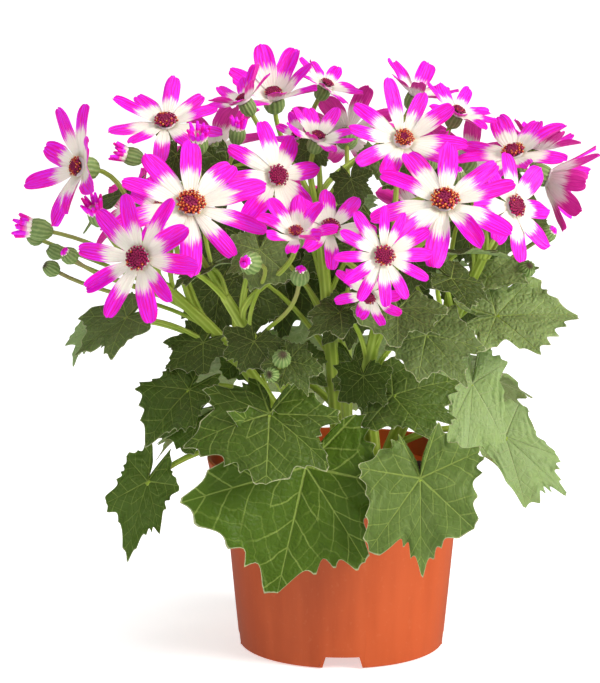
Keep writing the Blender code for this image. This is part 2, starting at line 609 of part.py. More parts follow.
def stem_pieces(name):
    """Every rod, cup, bud and blade of one leafy stem, each sunk into what it grows from."""
    base_radius, tip_radius, path = STEMS[name]
    shapes = [tube(path, np.linspace(base_radius, tip_radius, len(path)), STEM_SIDES)]
    for bloom in BLOOMS.values():
        if bloom[7] != name:
            continue
        out = face_frame(bloom[1], bloom[2])[0]
        start, way = along(path, bloom[8])
        foot = np.array(bloom[0], float) - out * (cup_depth(bloom[3]) - 1.0)
        steps = 2 if np.linalg.norm(foot - start) < SHORT_STALK else STALK_STEPS
        line = bend(start, way, foot, out, steps)
        shapes.append(tube(line, np.linspace(STALK_RADIUS * 1.15, STALK_RADIUS, len(line)), STALK_SIDES))
        shapes.append(flower_cup(bloom))
    for table, large in ((LARGE_LEAVES, True), (SMALL_LEAVES, False)):
        for key, entry in table.items():
            if entry[5] != name:
                continue
            start, way = along(path, entry[6])
            place = np.array(entry[0], float)
            axis, _, normal = leaf_frame(entry[1], entry[2])
            outward = unit(place - start)
            size = PETIOLE_RADIUS if large else PETIOLE_RADIUS * 0.75
            under = place + axis * 2.0 - normal * 0.3
            line = bend(start, way + outward, under, axis + outward * 0.6, STALK_STEPS if large else 2)
            shapes.append(tube(line, np.linspace(size * 1.2, size * 0.8, len(line)), STALK_SIDES))
            shapes.append(leaf(key, entry, large))
    for middle, way, radius, half_open, stem, share in BUDS.values():
        if stem != name:
            continue
        start, stem_way = along(path, share)
        foot = np.array(middle, float) - unit(way) * radius
        line = bend(start, stem_way, foot, way, 2)
        shapes.append(tube(line, np.full(len(line), STALK_RADIUS * 0.85), STALK_SIDES))
        shapes.append(bud(middle, way, radius, half_open))
    return shapes


def make_stem(name, finish):
    shapes = stem_pieces(name)
    main = solid(name, shapes[0], finish)
    others = [solid(f"{name}_{i}", shape, finish) for i, shape in enumerate(shapes[1:])]
    combine(main, others, "UNION", "MANIFOLD")
    return main


def inner_radius(height):
    """Radius of the pot's inside wall below its shoulder."""
    share = height / POT_SHOULDER_HEIGHT
    return POT_FOOT_RADIUS + (POT_SHOULDER_RADIUS - POT_FOOT_RADIUS) * share - POT_WALL


def channel_outline(margin, bottom):
    """Cross-section of a drain channel grown by a margin, from a given height up."""
    slope = (CHANNEL_WIDE - CHANNEL_NARROW) / 2 / CHANNEL_HEIGHT
    top = CHANNEL_HEIGHT + margin
    low = CHANNEL_WIDE / 2 - slope * bottom + margin
    high = CHANNEL_WIDE / 2 - slope * top + margin
    return [(-low, bottom), (low, bottom), (high, top), (-high, top)]


def make_pot(finish):
    """A thin turned shell with a stepped rim band, and four raised drain channels in its floor."""
    foot = POT_FOOT_RADIUS
    profile = [
        (0, 0),
        (foot - POT_FOOT_ROUND, 0),
        (foot, POT_FOOT_ROUND),
        (POT_SHOULDER_RADIUS, POT_SHOULDER_HEIGHT),
        (POT_BAND_RADIUS, POT_BAND_BOTTOM),
        (POT_RIM_RADIUS, POT_HEIGHT),
        (POT_RIM_RADIUS - POT_LIP, POT_HEIGHT),
        (POT_BAND_RADIUS - POT_WALL, POT_BAND_BOTTOM + POT_WALL),
        (inner_radius(POT_SHOULDER_HEIGHT), POT_SHOULDER_HEIGHT + POT_WALL),
        (inner_radius(0), POT_WALL),
        (0, POT_WALL),
    ]
    pot = solid("pot", turned(profile, POT_SIDES), finish)
    turns = [math.radians(-90 + 360 * k / CHANNEL_COUNT) for k in range(CHANNEL_COUNT)]
    skin = channel_outline(POT_WALL, POT_WALL / 2)
    humps = [solid("hump", prism(skin, CHANNEL_START - POT_WALL, foot - 0.9, turn)) for turn in turns]
    combine(pot, humps, "UNION")
    void = channel_outline(0, -POT_WALL)
    cutters = [solid("channel", prism(void, CHANNEL_START, foot + 4, turn), cutter=True) for turn in turns]
    for turn in turns:
        place = np.array((math.cos(turn), math.sin(turn), 0)) * DRAIN_PLACE
        ends = (place + (0, 0, CHANNEL_HEIGHT - 1), place + (0, 0, CHANNEL_HEIGHT + 2 * POT_WALL))
        cutters.append(solid("drain", tube(ends, (DRAIN_RADIUS, DRAIN_RADIUS), DRAIN_SIDES), cutter=True))
    combine(pot, cutters, "DIFFERENCE")
    return pot


def make_soil(finish):
    """Potting mix that fills the pot, mounded a little, with a plain hole for each stem."""
    floor = POT_WALL + GAP
    edge = inner_radius(MIX_EDGE_HEIGHT - 4) - GAP
    profile = [
        (0, floor),
        (inner_radius(floor) - GAP, floor),
        (edge, MIX_EDGE_HEIGHT - 4),
        (edge - 3, MIX_EDGE_HEIGHT),
        (0, MIX_EDGE_HEIGHT + MIX_CROWN),
    ]
    soil = solid("soil", turned(profile, POT_SIDES), finish)
    skin = channel_outline(POT_WALL + GAP, 0)
    cutters = []
    for k in range(CHANNEL_COUNT):
        turn = math.radians(-90 + 360 * k / CHANNEL_COUNT)
        cutters.append(solid("over", prism(skin, CHANNEL_START - POT_WALL - GAP, POT_RIM_RADIUS, turn), cutter=True))
    for radius, _, path in STEMS.values():
        foot = np.array(path[0], float)
        way = unit(np.array(path[1], float) - foot)
        line = (foot - way * GAP, foot + way * (HOLE_DEPTH + 3 * MIX_CROWN))
        hole = (radius + GAP) / math.cos(math.pi / STEM_HOLE_SIDES)
        cutters.append(solid("hole", tube(line, (hole, hole), STEM_HOLE_SIDES), cutter=True))
    combine(soil, cutters, "DIFFERENCE")
    return soil


def main():
    clear_scene()
    finishes = {name: material(name) for name in COLOURS}
    pot = make_pot(finishes["pot"])
    pot.data.shade_smooth()
    pot.data.set_sharp_from_angle(angle=math.radians(30))
    make_soil(finishes["mix"])
    for name in STEMS:
        make_stem(name, finishes["green"])
    for name, bloom in BLOOMS.items():
        solid(name + "_rays", ray_ring(name, bloom), finishes["rays"])
        if bloom[9]:
            solid(name + "_disc", floret_disc(bloom), finishes["disc"])


main()
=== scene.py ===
"""Looks of a potted cineraria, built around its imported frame.

Metres, +Z up. The origin is under the middle of the pot, and the plant faces -Y. Lists of places and
sizes are in millimetres, as in the part's source, and turn into metres where a mesh is made.
"""

import math
import random

import bmesh
import bpy
import numpy as np
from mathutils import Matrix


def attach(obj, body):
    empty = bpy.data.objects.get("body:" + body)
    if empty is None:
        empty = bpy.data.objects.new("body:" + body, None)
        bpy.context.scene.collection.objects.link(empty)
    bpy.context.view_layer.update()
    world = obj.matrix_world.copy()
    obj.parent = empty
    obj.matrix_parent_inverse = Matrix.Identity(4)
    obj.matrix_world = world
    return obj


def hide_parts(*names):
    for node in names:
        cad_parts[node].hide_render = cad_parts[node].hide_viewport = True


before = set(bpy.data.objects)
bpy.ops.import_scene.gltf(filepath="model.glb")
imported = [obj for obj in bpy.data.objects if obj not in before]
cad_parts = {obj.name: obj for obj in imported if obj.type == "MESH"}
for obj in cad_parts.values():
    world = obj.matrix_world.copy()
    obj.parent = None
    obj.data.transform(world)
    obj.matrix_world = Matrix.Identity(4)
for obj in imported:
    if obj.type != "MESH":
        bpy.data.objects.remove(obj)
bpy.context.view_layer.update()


# Studio
# A white sweep of floor and wall, lit by a large soft box on the right, a weaker one on the left and one
# above. The camera stands where the photographer stood: 1.5 m away and a little above the flowers.

CAMERA_PLACE = (-0.022, -1.5, 0.442)
CAMERA_PITCH = math.radians(79.44)
CAMERA_LENS = 152.9
CAMERA_SENSOR = 36.0
SOFT_BOXES = {
    "key_light": ((1.6, -0.9, 1.15), 0.8, 42.0, (1.0, 0.97, 0.93)),
    "fill_light": ((-1.3, -1.6, 0.9), 1.2, 6.0, (0.95, 0.97, 1.0)),
    "top_light": ((-0.2, -0.2, 1.9), 1.0, 13.0, (1.0, 1.0, 1.0)),
}
AIM = np.array((0.0, 0.0, 0.16))
SKY_COLOUR = (0.95, 0.97, 1.0, 1.0)
SKY_STRENGTH = 0.24
SWEEP_COLOUR = (0.9, 0.9, 0.9, 1.0)
SWEEP_GLOW = 0.62
SWEEP_REACH = 9.0
SWEEP_BACK = 4.5
SWEEP_BEND = 1.1
SWEEP_STEEPNESS = 0.315
SWEEP_DROP = 0.0004


class Wire:
    """One output socket of a finish. Arithmetic on it adds Math nodes."""

    def __init__(self, finish, socket):
        self.finish = finish
        self.socket = socket

    def math(self, operation, *others):
        """A Math node on this value and, where the operation takes more, on others."""
        return self.finish.node("ShaderNodeMath", {"operation": operation}, dict(enumerate((self, *others))))

    def __add__(self, other):
        return self.math("ADD", other)

    def __sub__(self, other):
        return self.math("SUBTRACT", other)

    def __rsub__(self, other):
        return self.math("MULTIPLY_ADD", -1.0, other)

    def __mul__(self, other):
        return self.math("MULTIPLY", other)

    def __truediv__(self, other):
        return self.math("DIVIDE", other)

    __radd__ = __add__
    __rmul__ = __mul__

    def size(self):
        return self.math("ABSOLUTE")

    def off_whole(self):
        """How far the value is from the nearest whole number."""
        return (self - self.math("ROUND")).size()

    def step(self, low, high):
        """A smooth rise from 0 to 1 as the value goes from low to high, or a fall where low is the larger."""
        reach = {"Value": self, "From Min": low, "From Max": high}
        return self.finish.node("ShaderNodeMapRange", {"interpolation_type": "SMOOTHSTEP"}, reach)


class Finish:
    """A material being built from nodes around its Principled shader."""

    def __init__(self, name, roughness=0.5):
        self.material = bpy.data.materials.new(name)
        self.material.use_nodes = True
        self.tree = self.material.node_tree
        self.shader = self.tree.nodes["Principled BSDF"]
        self.set(Roughness=roughness)

    def node(self, kind, settings=None, values=None, out=0):
        """Adds a node: its settings first, then the values or links of its sockets, by name or number."""
        made = self.tree.nodes.new(kind)
        for key, setting in (settings or {}).items():
            setattr(made, key, setting)
        for key, value in (values or {}).items():
            self.join(value, made.inputs[key])
        return Wire(self, made.outputs[out])

    def join(self, value, socket):
        if isinstance(value, Wire):
            self.tree.links.new(value.socket, socket)
        else:
            socket.default_value = value

    def at(self):
        """Object coordinates."""
        return self.node("ShaderNodeTexCoord", out=3)

    def words(self, name):
        """The three numbers of a vector that a mesh carries at each of its points."""
        carried = self.node("ShaderNodeAttribute", {"attribute_name": name}, out=1)
        split = self.node("ShaderNodeSeparateXYZ", None, {0: carried}).socket.node
        return [Wire(self, socket) for socket in split.outputs]

    def place(self, x, y, z):
        """Coordinates put together from three values."""
        return self.node("ShaderNodeCombineXYZ", None, {0: x, 1: y, 2: z})

    def stretched(self, where, scale):
        """Coordinates scaled by a different amount along each axis."""
        return self.node("ShaderNodeVectorMath", {"operation": "MULTIPLY"}, {0: where, 1: scale})

    def mix(self, share, first, second):
        """A colour between two, by a share from 0 to 1."""
        return self.node("ShaderNodeMix", {"data_type": "RGBA"}, {0: share, 6: first, 7: second}, 2)

    def noise(self, where, scale, detail=2.0):
        return self.node("ShaderNodeTexNoise", None, {"Vector": where, "Scale": scale, "Detail": detail})

    def bump(self, height, strength, distance):
        sockets = {"Height": height, "Strength": strength, "Distance": distance}
        self.set(Normal=self.node("ShaderNodeBump", None, sockets))

    def set(self, **sockets):
        for key, value in sockets.items():
            self.join(value, self.shader.inputs[key.replace("_", " ")])


def placed(name, data):
    """A new object in the scene, at the origin."""
    made = bpy.data.objects.new(name, data)
    bpy.context.scene.collection.objects.link(made)
    return made


def quads(rows, columns, wrap=True):
    """Corner numbers of a grid's faces. The last column joins the first where the grid wraps round."""
    row = np.arange(rows - 1)[:, None]
    column = np.arange(columns if wrap else columns - 1)[None, :]
    following = (column + 1) % columns
    corners = np.broadcast_arrays(row * columns + column, row * columns + following,
                                  (row + 1) * columns + following, (row + 1) * columns + column)
    return np.stack(corners, -1).reshape(-1, 4)


def mesh_from(name, points, faces):
    """A mesh from an array of points in metres and an array of four-cornered faces."""
    mesh = bpy.data.meshes.new(name)
    mesh.vertices.add(len(points))
    mesh.vertices.foreach_set("co", np.asarray(points, np.float32).ravel())
    mesh.loops.add(faces.size)
    mesh.loops.foreach_set("vertex_index", faces.astype(np.int32).ravel())
    mesh.polygons.add(len(faces))
    mesh.polygons.foreach_set("loop_start", np.arange(0, faces.size, 4, dtype=np.int32))
    mesh.update(calc_edges=True)
    return mesh


camera = placed("camera", bpy.data.cameras.new("camera"))
camera.location = CAMERA_PLACE
camera.rotation_euler = (CAMERA_PITCH, 0, 0)
camera.data.lens = CAMERA_LENS
camera.data.sensor_fit = "VERTICAL"
camera.data.sensor_width = camera.data.sensor_height = CAMERA_SENSOR
bpy.context.scene.camera = camera

for name, (place, size, power, colour) in SOFT_BOXES.items():
    light = placed(name, bpy.data.lights.new(name, "AREA"))
    light.data.size = size
    light.data.energy = power
    light.data.color = colour
    light.location = place
    away = np.array(place) - AIM
    light.rotation_euler = (math.acos(away[2] / np.linalg.norm(away)), 0, math.atan2(away[0], -away[1]))

bpy.context.scene.view_settings.view_transform = "Standard"
world = bpy.data.worlds.new("studio")
world.use_nodes = True
world.node_tree.nodes["Background"].inputs["Color"].default_value = SKY_COLOUR
world.node_tree.nodes["Background"].inputs["Strength"].default_value = SKY_STRENGTH
bpy.context.scene.world = world

# The sweep is a profile that runs flat under the pot and curves up behind it. It stays out of reflections,
# as dark flags round a studio table keep white card from hazing a glossy surface
sweep_along = np.linspace(-SWEEP_REACH, SWEEP_BACK, 60)[:, None]
sweep_across = np.linspace(-SWEEP_REACH, SWEEP_REACH, 12)[None, :]
sweep_rise = SWEEP_STEEPNESS * np.clip(sweep_along - SWEEP_BEND, 0, None) ** 2 - SWEEP_DROP
sweep_grid = np.stack(np.broadcast_arrays(sweep_across, sweep_along, sweep_rise), -1)
sweep = placed("sweep", mesh_from("sweep", sweep_grid.reshape(-1, 3), quads(60, 12, wrap=False)))
sweep.data.shade_smooth()
sweep.visible_glossy = False
paper = Finish("sweep_paper", 0.9)
paper.set(Base_Color=SWEEP_COLOUR, Emission_Color=SWEEP_COLOUR, Emission_Strength=SWEEP_GLOW)
sweep.data.materials.append(paper.material)


# Pot
# A thin nursery pot, injection moulded in terracotta-coloured polypropylene. Its wall widens to a stepped rim
# band, and four raised channels cross its foot, each with a drain hole in its roof.

MM = 0.001
POT_SIDES = 144
FOOT_RADIUS = 54.5
SHOULDER_RADIUS = 62.5
SHOULDER_HEIGHT = 86.0
BAND_RADIUS = 68.8
BAND_BOTTOM = 87.5
RIM_RADIUS = 71.2
POT_HEIGHT = 101.0
WALL = 1.7
LIP = 2.1
CHANNELS = 4
CHANNEL_WIDE = 21.0
CHANNEL_NARROW = 17.4
CHANNEL_HEIGHT = 6.2
CHANNEL_START = 18.0
DRAIN_PLACE = 44.0
DRAIN_RADIUS = 3.6
TERRACOTTA_DEEP = (0.43, 0.062, 0.006, 1.0)
TERRACOTTA = (0.53, 0.084, 0.011, 1.0)
TERRACOTTA_DUST = (0.66, 0.24, 0.10, 1.0)


def add_piece(name, shape, finish, slot, *nodes, crease=60):
    """Puts a shape in the scene as one piece: merges its poles, shades it smooth and gives it its place.

    A shape is its points in millimetres, its faces, and a dict of the vectors that its finish reads.
    """
    points, faces, words = shape
    mesh = mesh_from(name, points * MM, faces)
    for word, values in words.items():
        layer = mesh.attributes.new(word, "FLOAT_VECTOR", "POINT")
        layer.data.foreach_set("vector", np.asarray(values, np.float32).ravel())
    clean = bmesh.new()
    clean.from_mesh(mesh)
    bmesh.ops.remove_doubles(clean, verts=clean.verts, dist=1e-6)
    clean.to_mesh(mesh)
    clean.free()
    mesh.shade_smooth()
    mesh.set_sharp_from_angle(angle=math.radians(crease))
    piece = placed(name, mesh)
    mesh.materials.append(finish.material)
    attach(piece, "root")
    if nodes:
        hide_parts(*nodes)
    return piece


def outward(points, faces):
    """Faces turned so that they point out of the closed body that they bound, by the sign of its volume."""
    a, b, c, d = (points[faces[:, i]] for i in range(4))
    volume = np.einsum("ij,ij->", a, np.cross(b, c)) + np.einsum("ij,ij->", a, np.cross(c, d))
    return faces[:, ::-1] if volume < 0 else faces


def closed(grid, **words):
    """A closed body from a grid of rings whose first and last rings shrink to a point each.

    The words are grids of vectors for the finish, or one vector for the whole body.
    """
    points = grid.reshape(-1, 3)
    words = {word: np.broadcast_to(values, grid.shape).reshape(-1, 3) for word, values in words.items()}
    return points, outward(points, quads(*grid.shape[:2])), words


def join_shapes(shapes):
    """Several shapes as one."""
    starts = np.cumsum([0] + [len(shape[0]) for shape in shapes[:-1]])
    points = np.concatenate([shape[0] for shape in shapes])
    faces = np.concatenate([shape[1] + start for shape, start in zip(shapes, starts)])
    words = {word: np.concatenate([shape[2][word] for shape in shapes]) for word in shapes[0][2]}
    return points, faces, words


def turned(profile, sides):
    """Rings of a profile of (radius, height) points turned about Z."""
    profile = np.array(profile, float)
    angle = 2 * math.pi * np.arange(sides) / sides
    ring = np.stack((np.cos(angle), np.sin(angle), np.zeros(sides)), -1)
    return profile[:, None, :1] * ring + profile[:, None, 1:] * np.array((0, 0, 1.0))


def arc(centre, radius, start, end, count=5):
    """Points of (radius, height) on a quarter turn or less, by angles in degrees."""
    angle = np.radians(np.linspace(start, end, count))
    return np.stack((centre[0] + radius * np.cos(angle), centre[1] + radius * np.sin(angle)), -1)


def inner_radius(height):
    """Radius of the inside wall below the shoulder: it grows evenly with the height."""
    return FOOT_RADIUS + (SHOULDER_RADIUS - FOOT_RADIUS) * height / SHOULDER_HEIGHT - WALL


def channel_prism(name, margin, bottom, start, end, turn):
    """A cutter or hump: the channel's four-sided section, grown by a margin and carried along the radius."""
    slope = (CHANNEL_WIDE - CHANNEL_NARROW) / 2 / CHANNEL_HEIGHT
    top = CHANNEL_HEIGHT + margin
    low = CHANNEL_WIDE / 2 - slope * bottom + margin
    high = CHANNEL_WIDE / 2 - slope * top + margin
    section = np.array(((-low, bottom), (low, bottom), (high, top), (-high, top)))
    away = np.array((math.cos(turn), math.sin(turn), 0))
    across = np.array((-math.sin(turn), math.cos(turn), 0))
    ends = np.array((start, end))[:, None, None] * away
    points = (ends + section[:, :1] * across + section[:, 1:] * np.array((0, 0, 1.0))).reshape(-1, 3)
    faces = np.concatenate((quads(2, 4), [(3, 2, 1, 0), (4, 5, 6, 7)]))
    return bpy.data.objects.new(name, mesh_from(name, points * MM, outward(points, faces)))


def carve(piece, others, operation):
    """One applied Boolean of a piece with several solids, which are then removed."""
    group = bpy.data.collections.new("carving")
    for other in others:
        group.objects.link(other)
    change = piece.modifiers.new("carve", "BOOLEAN")
    change.operation = operation
    change.operand_type = "COLLECTION"
    change.collection = group
    change.solver = "EXACT"
    bpy.context.view_layer.update()
    graph = bpy.context.evaluated_depsgraph_get()
    mesh = bpy.data.meshes.new_from_object(piece.evaluated_get(graph))
    piece.modifiers.clear()
    piece.data = mesh
    for other in others:
        bpy.data.objects.remove(other)
    bpy.data.collections.remove(group)


# The profile starts in the middle of the floor, and runs out and up the wall, over the rim and down inside
pot_profile = np.concatenate((
    [(0, 0), (20, 0), (40, 0)],
    arc((FOOT_RADIUS - 1.2, 1.2), 1.2, -90, -5),
    [(FOOT_RADIUS + 2.6, 28), (FOOT_RADIUS + 5.3, 57)],
    [(SHOULDER_RADIUS - 0.1, SHOULDER_HEIGHT - 1.0), (SHOULDER_RADIUS + 0.5, SHOULDER_HEIGHT)],
    arc((BAND_RADIUS - 0.9, BAND_BOTTOM + 0.9), 0.9, -80, 0),
    arc((RIM_RADIUS - 0.8, POT_HEIGHT - 0.8), 0.8, 0, 90),
    arc((RIM_RADIUS - LIP + 0.6, POT_HEIGHT - 0.6), 0.6, 90, 180),
    [(BAND_RADIUS - WALL, BAND_BOTTOM + WALL), (inner_radius(SHOULDER_HEIGHT), SHOULDER_HEIGHT + WALL)],
    [(inner_radius(45), 45), (inner_radius(0), WALL), (0, WALL)],
))
terracotta = Finish("terracotta_plastic")
at = terracotta.at()
cloud = terracotta.noise(at, 14.0, 3.0)
streak = terracotta.noise(terracotta.stretched(at, (160.0, 160.0, 9.0)), 1.0, 3.0)
dust = terracotta.noise(at, 420.0, 2.0).step(0.6, 0.75)
shade = (cloud * 0.6 + streak * 0.4).step(0.32, 0.66)
plain = terracotta.mix(shade, TERRACOTTA_DEEP, TERRACOTTA)
terracotta.set(
    Base_Color=terracotta.mix(dust * 0.10, plain, TERRACOTTA_DUST),
    Roughness=streak * 0.16 + 0.32,
    Specular_IOR_Level=0.45,
)
terracotta.bump(streak * 0.5 + cloud * 0.5, 0.12, 0.0005)
pot = add_piece("nursery_pot", closed(turned(pot_profile, POT_SIDES)), terracotta, "pot", "pot", crease=40)
drain_profile = ((0, -1), (DRAIN_RADIUS, -1), (DRAIN_RADIUS, 2 * WALL), (0, 2 * WALL))
channel_turns = [math.radians(360 / CHANNELS * k - 90) for k in range(CHANNELS)]
humps = [channel_prism("hump", WALL, WALL / 2, CHANNEL_START - WALL, FOOT_RADIUS - 0.9, turn)
         for turn in channel_turns]
cutters = [channel_prism("channel", 0, -WALL, CHANNEL_START, FOOT_RADIUS + 4, turn) for turn in channel_turns]
for turn in channel_turns:
    drain = turned([(radius, CHANNEL_HEIGHT + up) for radius, up in drain_profile], 32)
    drain += np.array((math.cos(turn), math.sin(turn), 0)) * DRAIN_PLACE
    points, faces, _ = closed(drain)
    cutters.append(bpy.data.objects.new("drain", mesh_from("drain", points * MM, faces)))
carve(pot, humps, "UNION")
carve(pot, cutters, "DIFFERENCE")
pot.data.shade_smooth()
pot.data.set_sharp_from_angle(angle=math.radians(32))


# Potting mix
# Moist dark peat with bark crumbs and a few pale grains of perlite, heaped a little to the middle of the pot.
# The heap is one closed body, and the crumbs are small faceted lumps sunk into its surface.

MIX_EDGE = 88.5
MIX_CROWN = 4.0
MIX_RINGS = 48
MIX_SIDES = 168
MIX_LUMP = 0.9
CRUMBS = 900
CRUMB_SIDES = 7
PERLITE_SHARE = 0.05
PEAT_DARK = (0.012, 0.007, 0.004, 1.0)
PEAT = (0.052, 0.028, 0.016, 1.0)
PERLITE = (0.55, 0.52, 0.47, 1.0)


def lumps(x, y, seed, size, octaves=3):
    """Rolling heights from sums of sine waves whose directions and phases are drawn at random."""
    chance = np.random.default_rng(seed)
    total = 0.0
    for octave in range(octaves):
        for _ in range(5):
            turn, phase = chance.uniform(0, 2 * math.pi, 2)
            along_wave = (x * math.cos(turn) + y * math.sin(turn)) * 2**octave / size
            total = total + np.sin(along_wave + phase) / 2**octave
    return total / 5


def mix_height(x, y):
    """Height of the heap: a low dome with lumps that fade at the wall."""
    share = np.hypot(x, y) / inner_radius(MIX_EDGE)
    dome = MIX_EDGE + MIX_CROWN * np.cos(np.clip(share, 0, 1) * math.pi / 2)
    return dome + MIX_LUMP * lumps(x, y, 3, 2.6) * np.clip((1 - share) * 6, 0, 1)


def repeated(bodies, faces):
    """Closed bodies of one build, as (body, point, 3): the first one's faces, counted on for the others."""
    starts = np.arange(len(bodies))[:, None, None] * bodies.shape[1]
    return bodies.reshape(-1, 3), (outward(bodies[0], faces) + starts).reshape(-1, 4)


mix_edge = inner_radius(MIX_EDGE - 4) - 0.3
ring = np.linspace(0, 1, MIX_RINGS)[:, None] * mix_edge
angle = 2 * math.pi * np.arange(MIX_SIDES)[None, :] / MIX_SIDES
top_x = ring * np.cos(angle)
top_y = ring * np.sin(angle)
heap = np.stack((top_x, top_y, mix_height(top_x, top_y)), -1)
heap[-1, :, 2] = MIX_EDGE - 4
below = turned([(mix_edge - 3.5, 40), (inner_radius(12) - 0.5, 12), (0, 12)], MIX_SIDES)
heap_shape = closed(np.concatenate((heap, below)), grain=np.zeros(3))
chance = np.random.default_rng(11)
spot = np.sqrt(chance.uniform(0, 1, CRUMBS)) * (mix_edge - 3)
turn = chance.uniform(0, 2 * math.pi, CRUMBS)
crumb_size = chance.uniform(0.5, 1.7, CRUMBS)
crumb_x = spot * np.cos(turn)
crumb_y = spot * np.sin(turn)
crumb_middle = np.stack((crumb_x, crumb_y, mix_height(crumb_x, crumb_y) + 0.2 * crumb_size), -1)
ball = turned([(0, -1), (0.8, -0.6), (1, 0.1), (0.6, 0.8), (0, 1)], CRUMB_SIDES)
rough = ball[None] * chance.uniform(0.7, 1.3, (CRUMBS, len(ball), CRUMB_SIDES, 1))
rough = rough * chance.uniform(0.5, 1.2, (CRUMBS, 1, 1, 3))
rough[:, 0] = rough[:, 0].mean(1, keepdims=True)
rough[:, -1] = rough[:, -1].mean(1, keepdims=True)
crumbs = crumb_middle[:, None, None] + rough * crumb_size[:, None, None, None]
pale = np.where(chance.uniform(0, 1, CRUMBS) < PERLITE_SHARE, 1.0, 0.0)
tint = chance.uniform(0, 1, CRUMBS)
crumb_words = np.stack((pale, tint, np.zeros(CRUMBS)), -1)
crumb_points, crumb_faces = repeated(crumbs.reshape(CRUMBS, -1, 3), quads(len(ball), CRUMB_SIDES))
crumb_words = np.repeat(crumb_words, len(ball) * CRUMB_SIDES, 0)
mix_shape = join_shapes([heap_shape, (crumb_points, crumb_faces, {"grain": crumb_words})])
peat = Finish("potting_mix", 0.92)
grain_pale, grain_tint, _ = peat.words("grain")
fibre = peat.noise(peat.at(), 520.0, 4.0)
earth = peat.mix((fibre * 0.7 + grain_tint * 0.5).step(0.3, 0.85), PEAT_DARK, PEAT)
peat.set(Base_Color=peat.mix(grain_pale, earth, PERLITE))
peat.bump(fibre, 0.7, 0.0008)
add_piece("potting_mix", mix_shape, peat, "mix", "soil", crease=70)


# Leafy stems
# Six juicy, ribbed stems rise from the mix and fork into a stalk for each leaf, bud and flower head.
# They are pale yellow-green, a little darker in the ribs, with a faint purple flush near the flowers.

# Each stem: its radius at the mix and at its tip, and the points that it passes
STEMS = {
    "stem_left": (
        4.6, 2.6, [(-16, 0, 69), (-22, -2, 100), (-42, -10, 138), (-66, -18, 170), (-92, -24, 196)]),
    "stem_front_left": (
        4.4, 2.6, [(-9, -12, 69), (-12, -18, 102), (-28, -36, 142), (-46, -50, 172), (-60, -56, 196)]),
    "stem_front_right": (
        4.6, 2.6, [(12, -14, 69), (16, -20, 104), (12, -38, 144), (16, -50, 174), (22, -56, 204)]),
    "stem_right": (
        4.6, 2.6, [(18, 4, 69), (26, 0, 104), (44, -10, 146), (60, -16, 182), (72, -22, 210)]),
    "stem_middle": (
        4.4, 2.4, [(0, 4, 69), (-2, 6, 110), (-6, 4, 160), (-10, 0, 205), (-14, -4, 235)]),
    "stem_back": (
        4.8, 2.8, [(2, 20, 69), (2, 28, 104), (2, 44, 146), (2, 58, 186), (4, 62, 214)]),
}

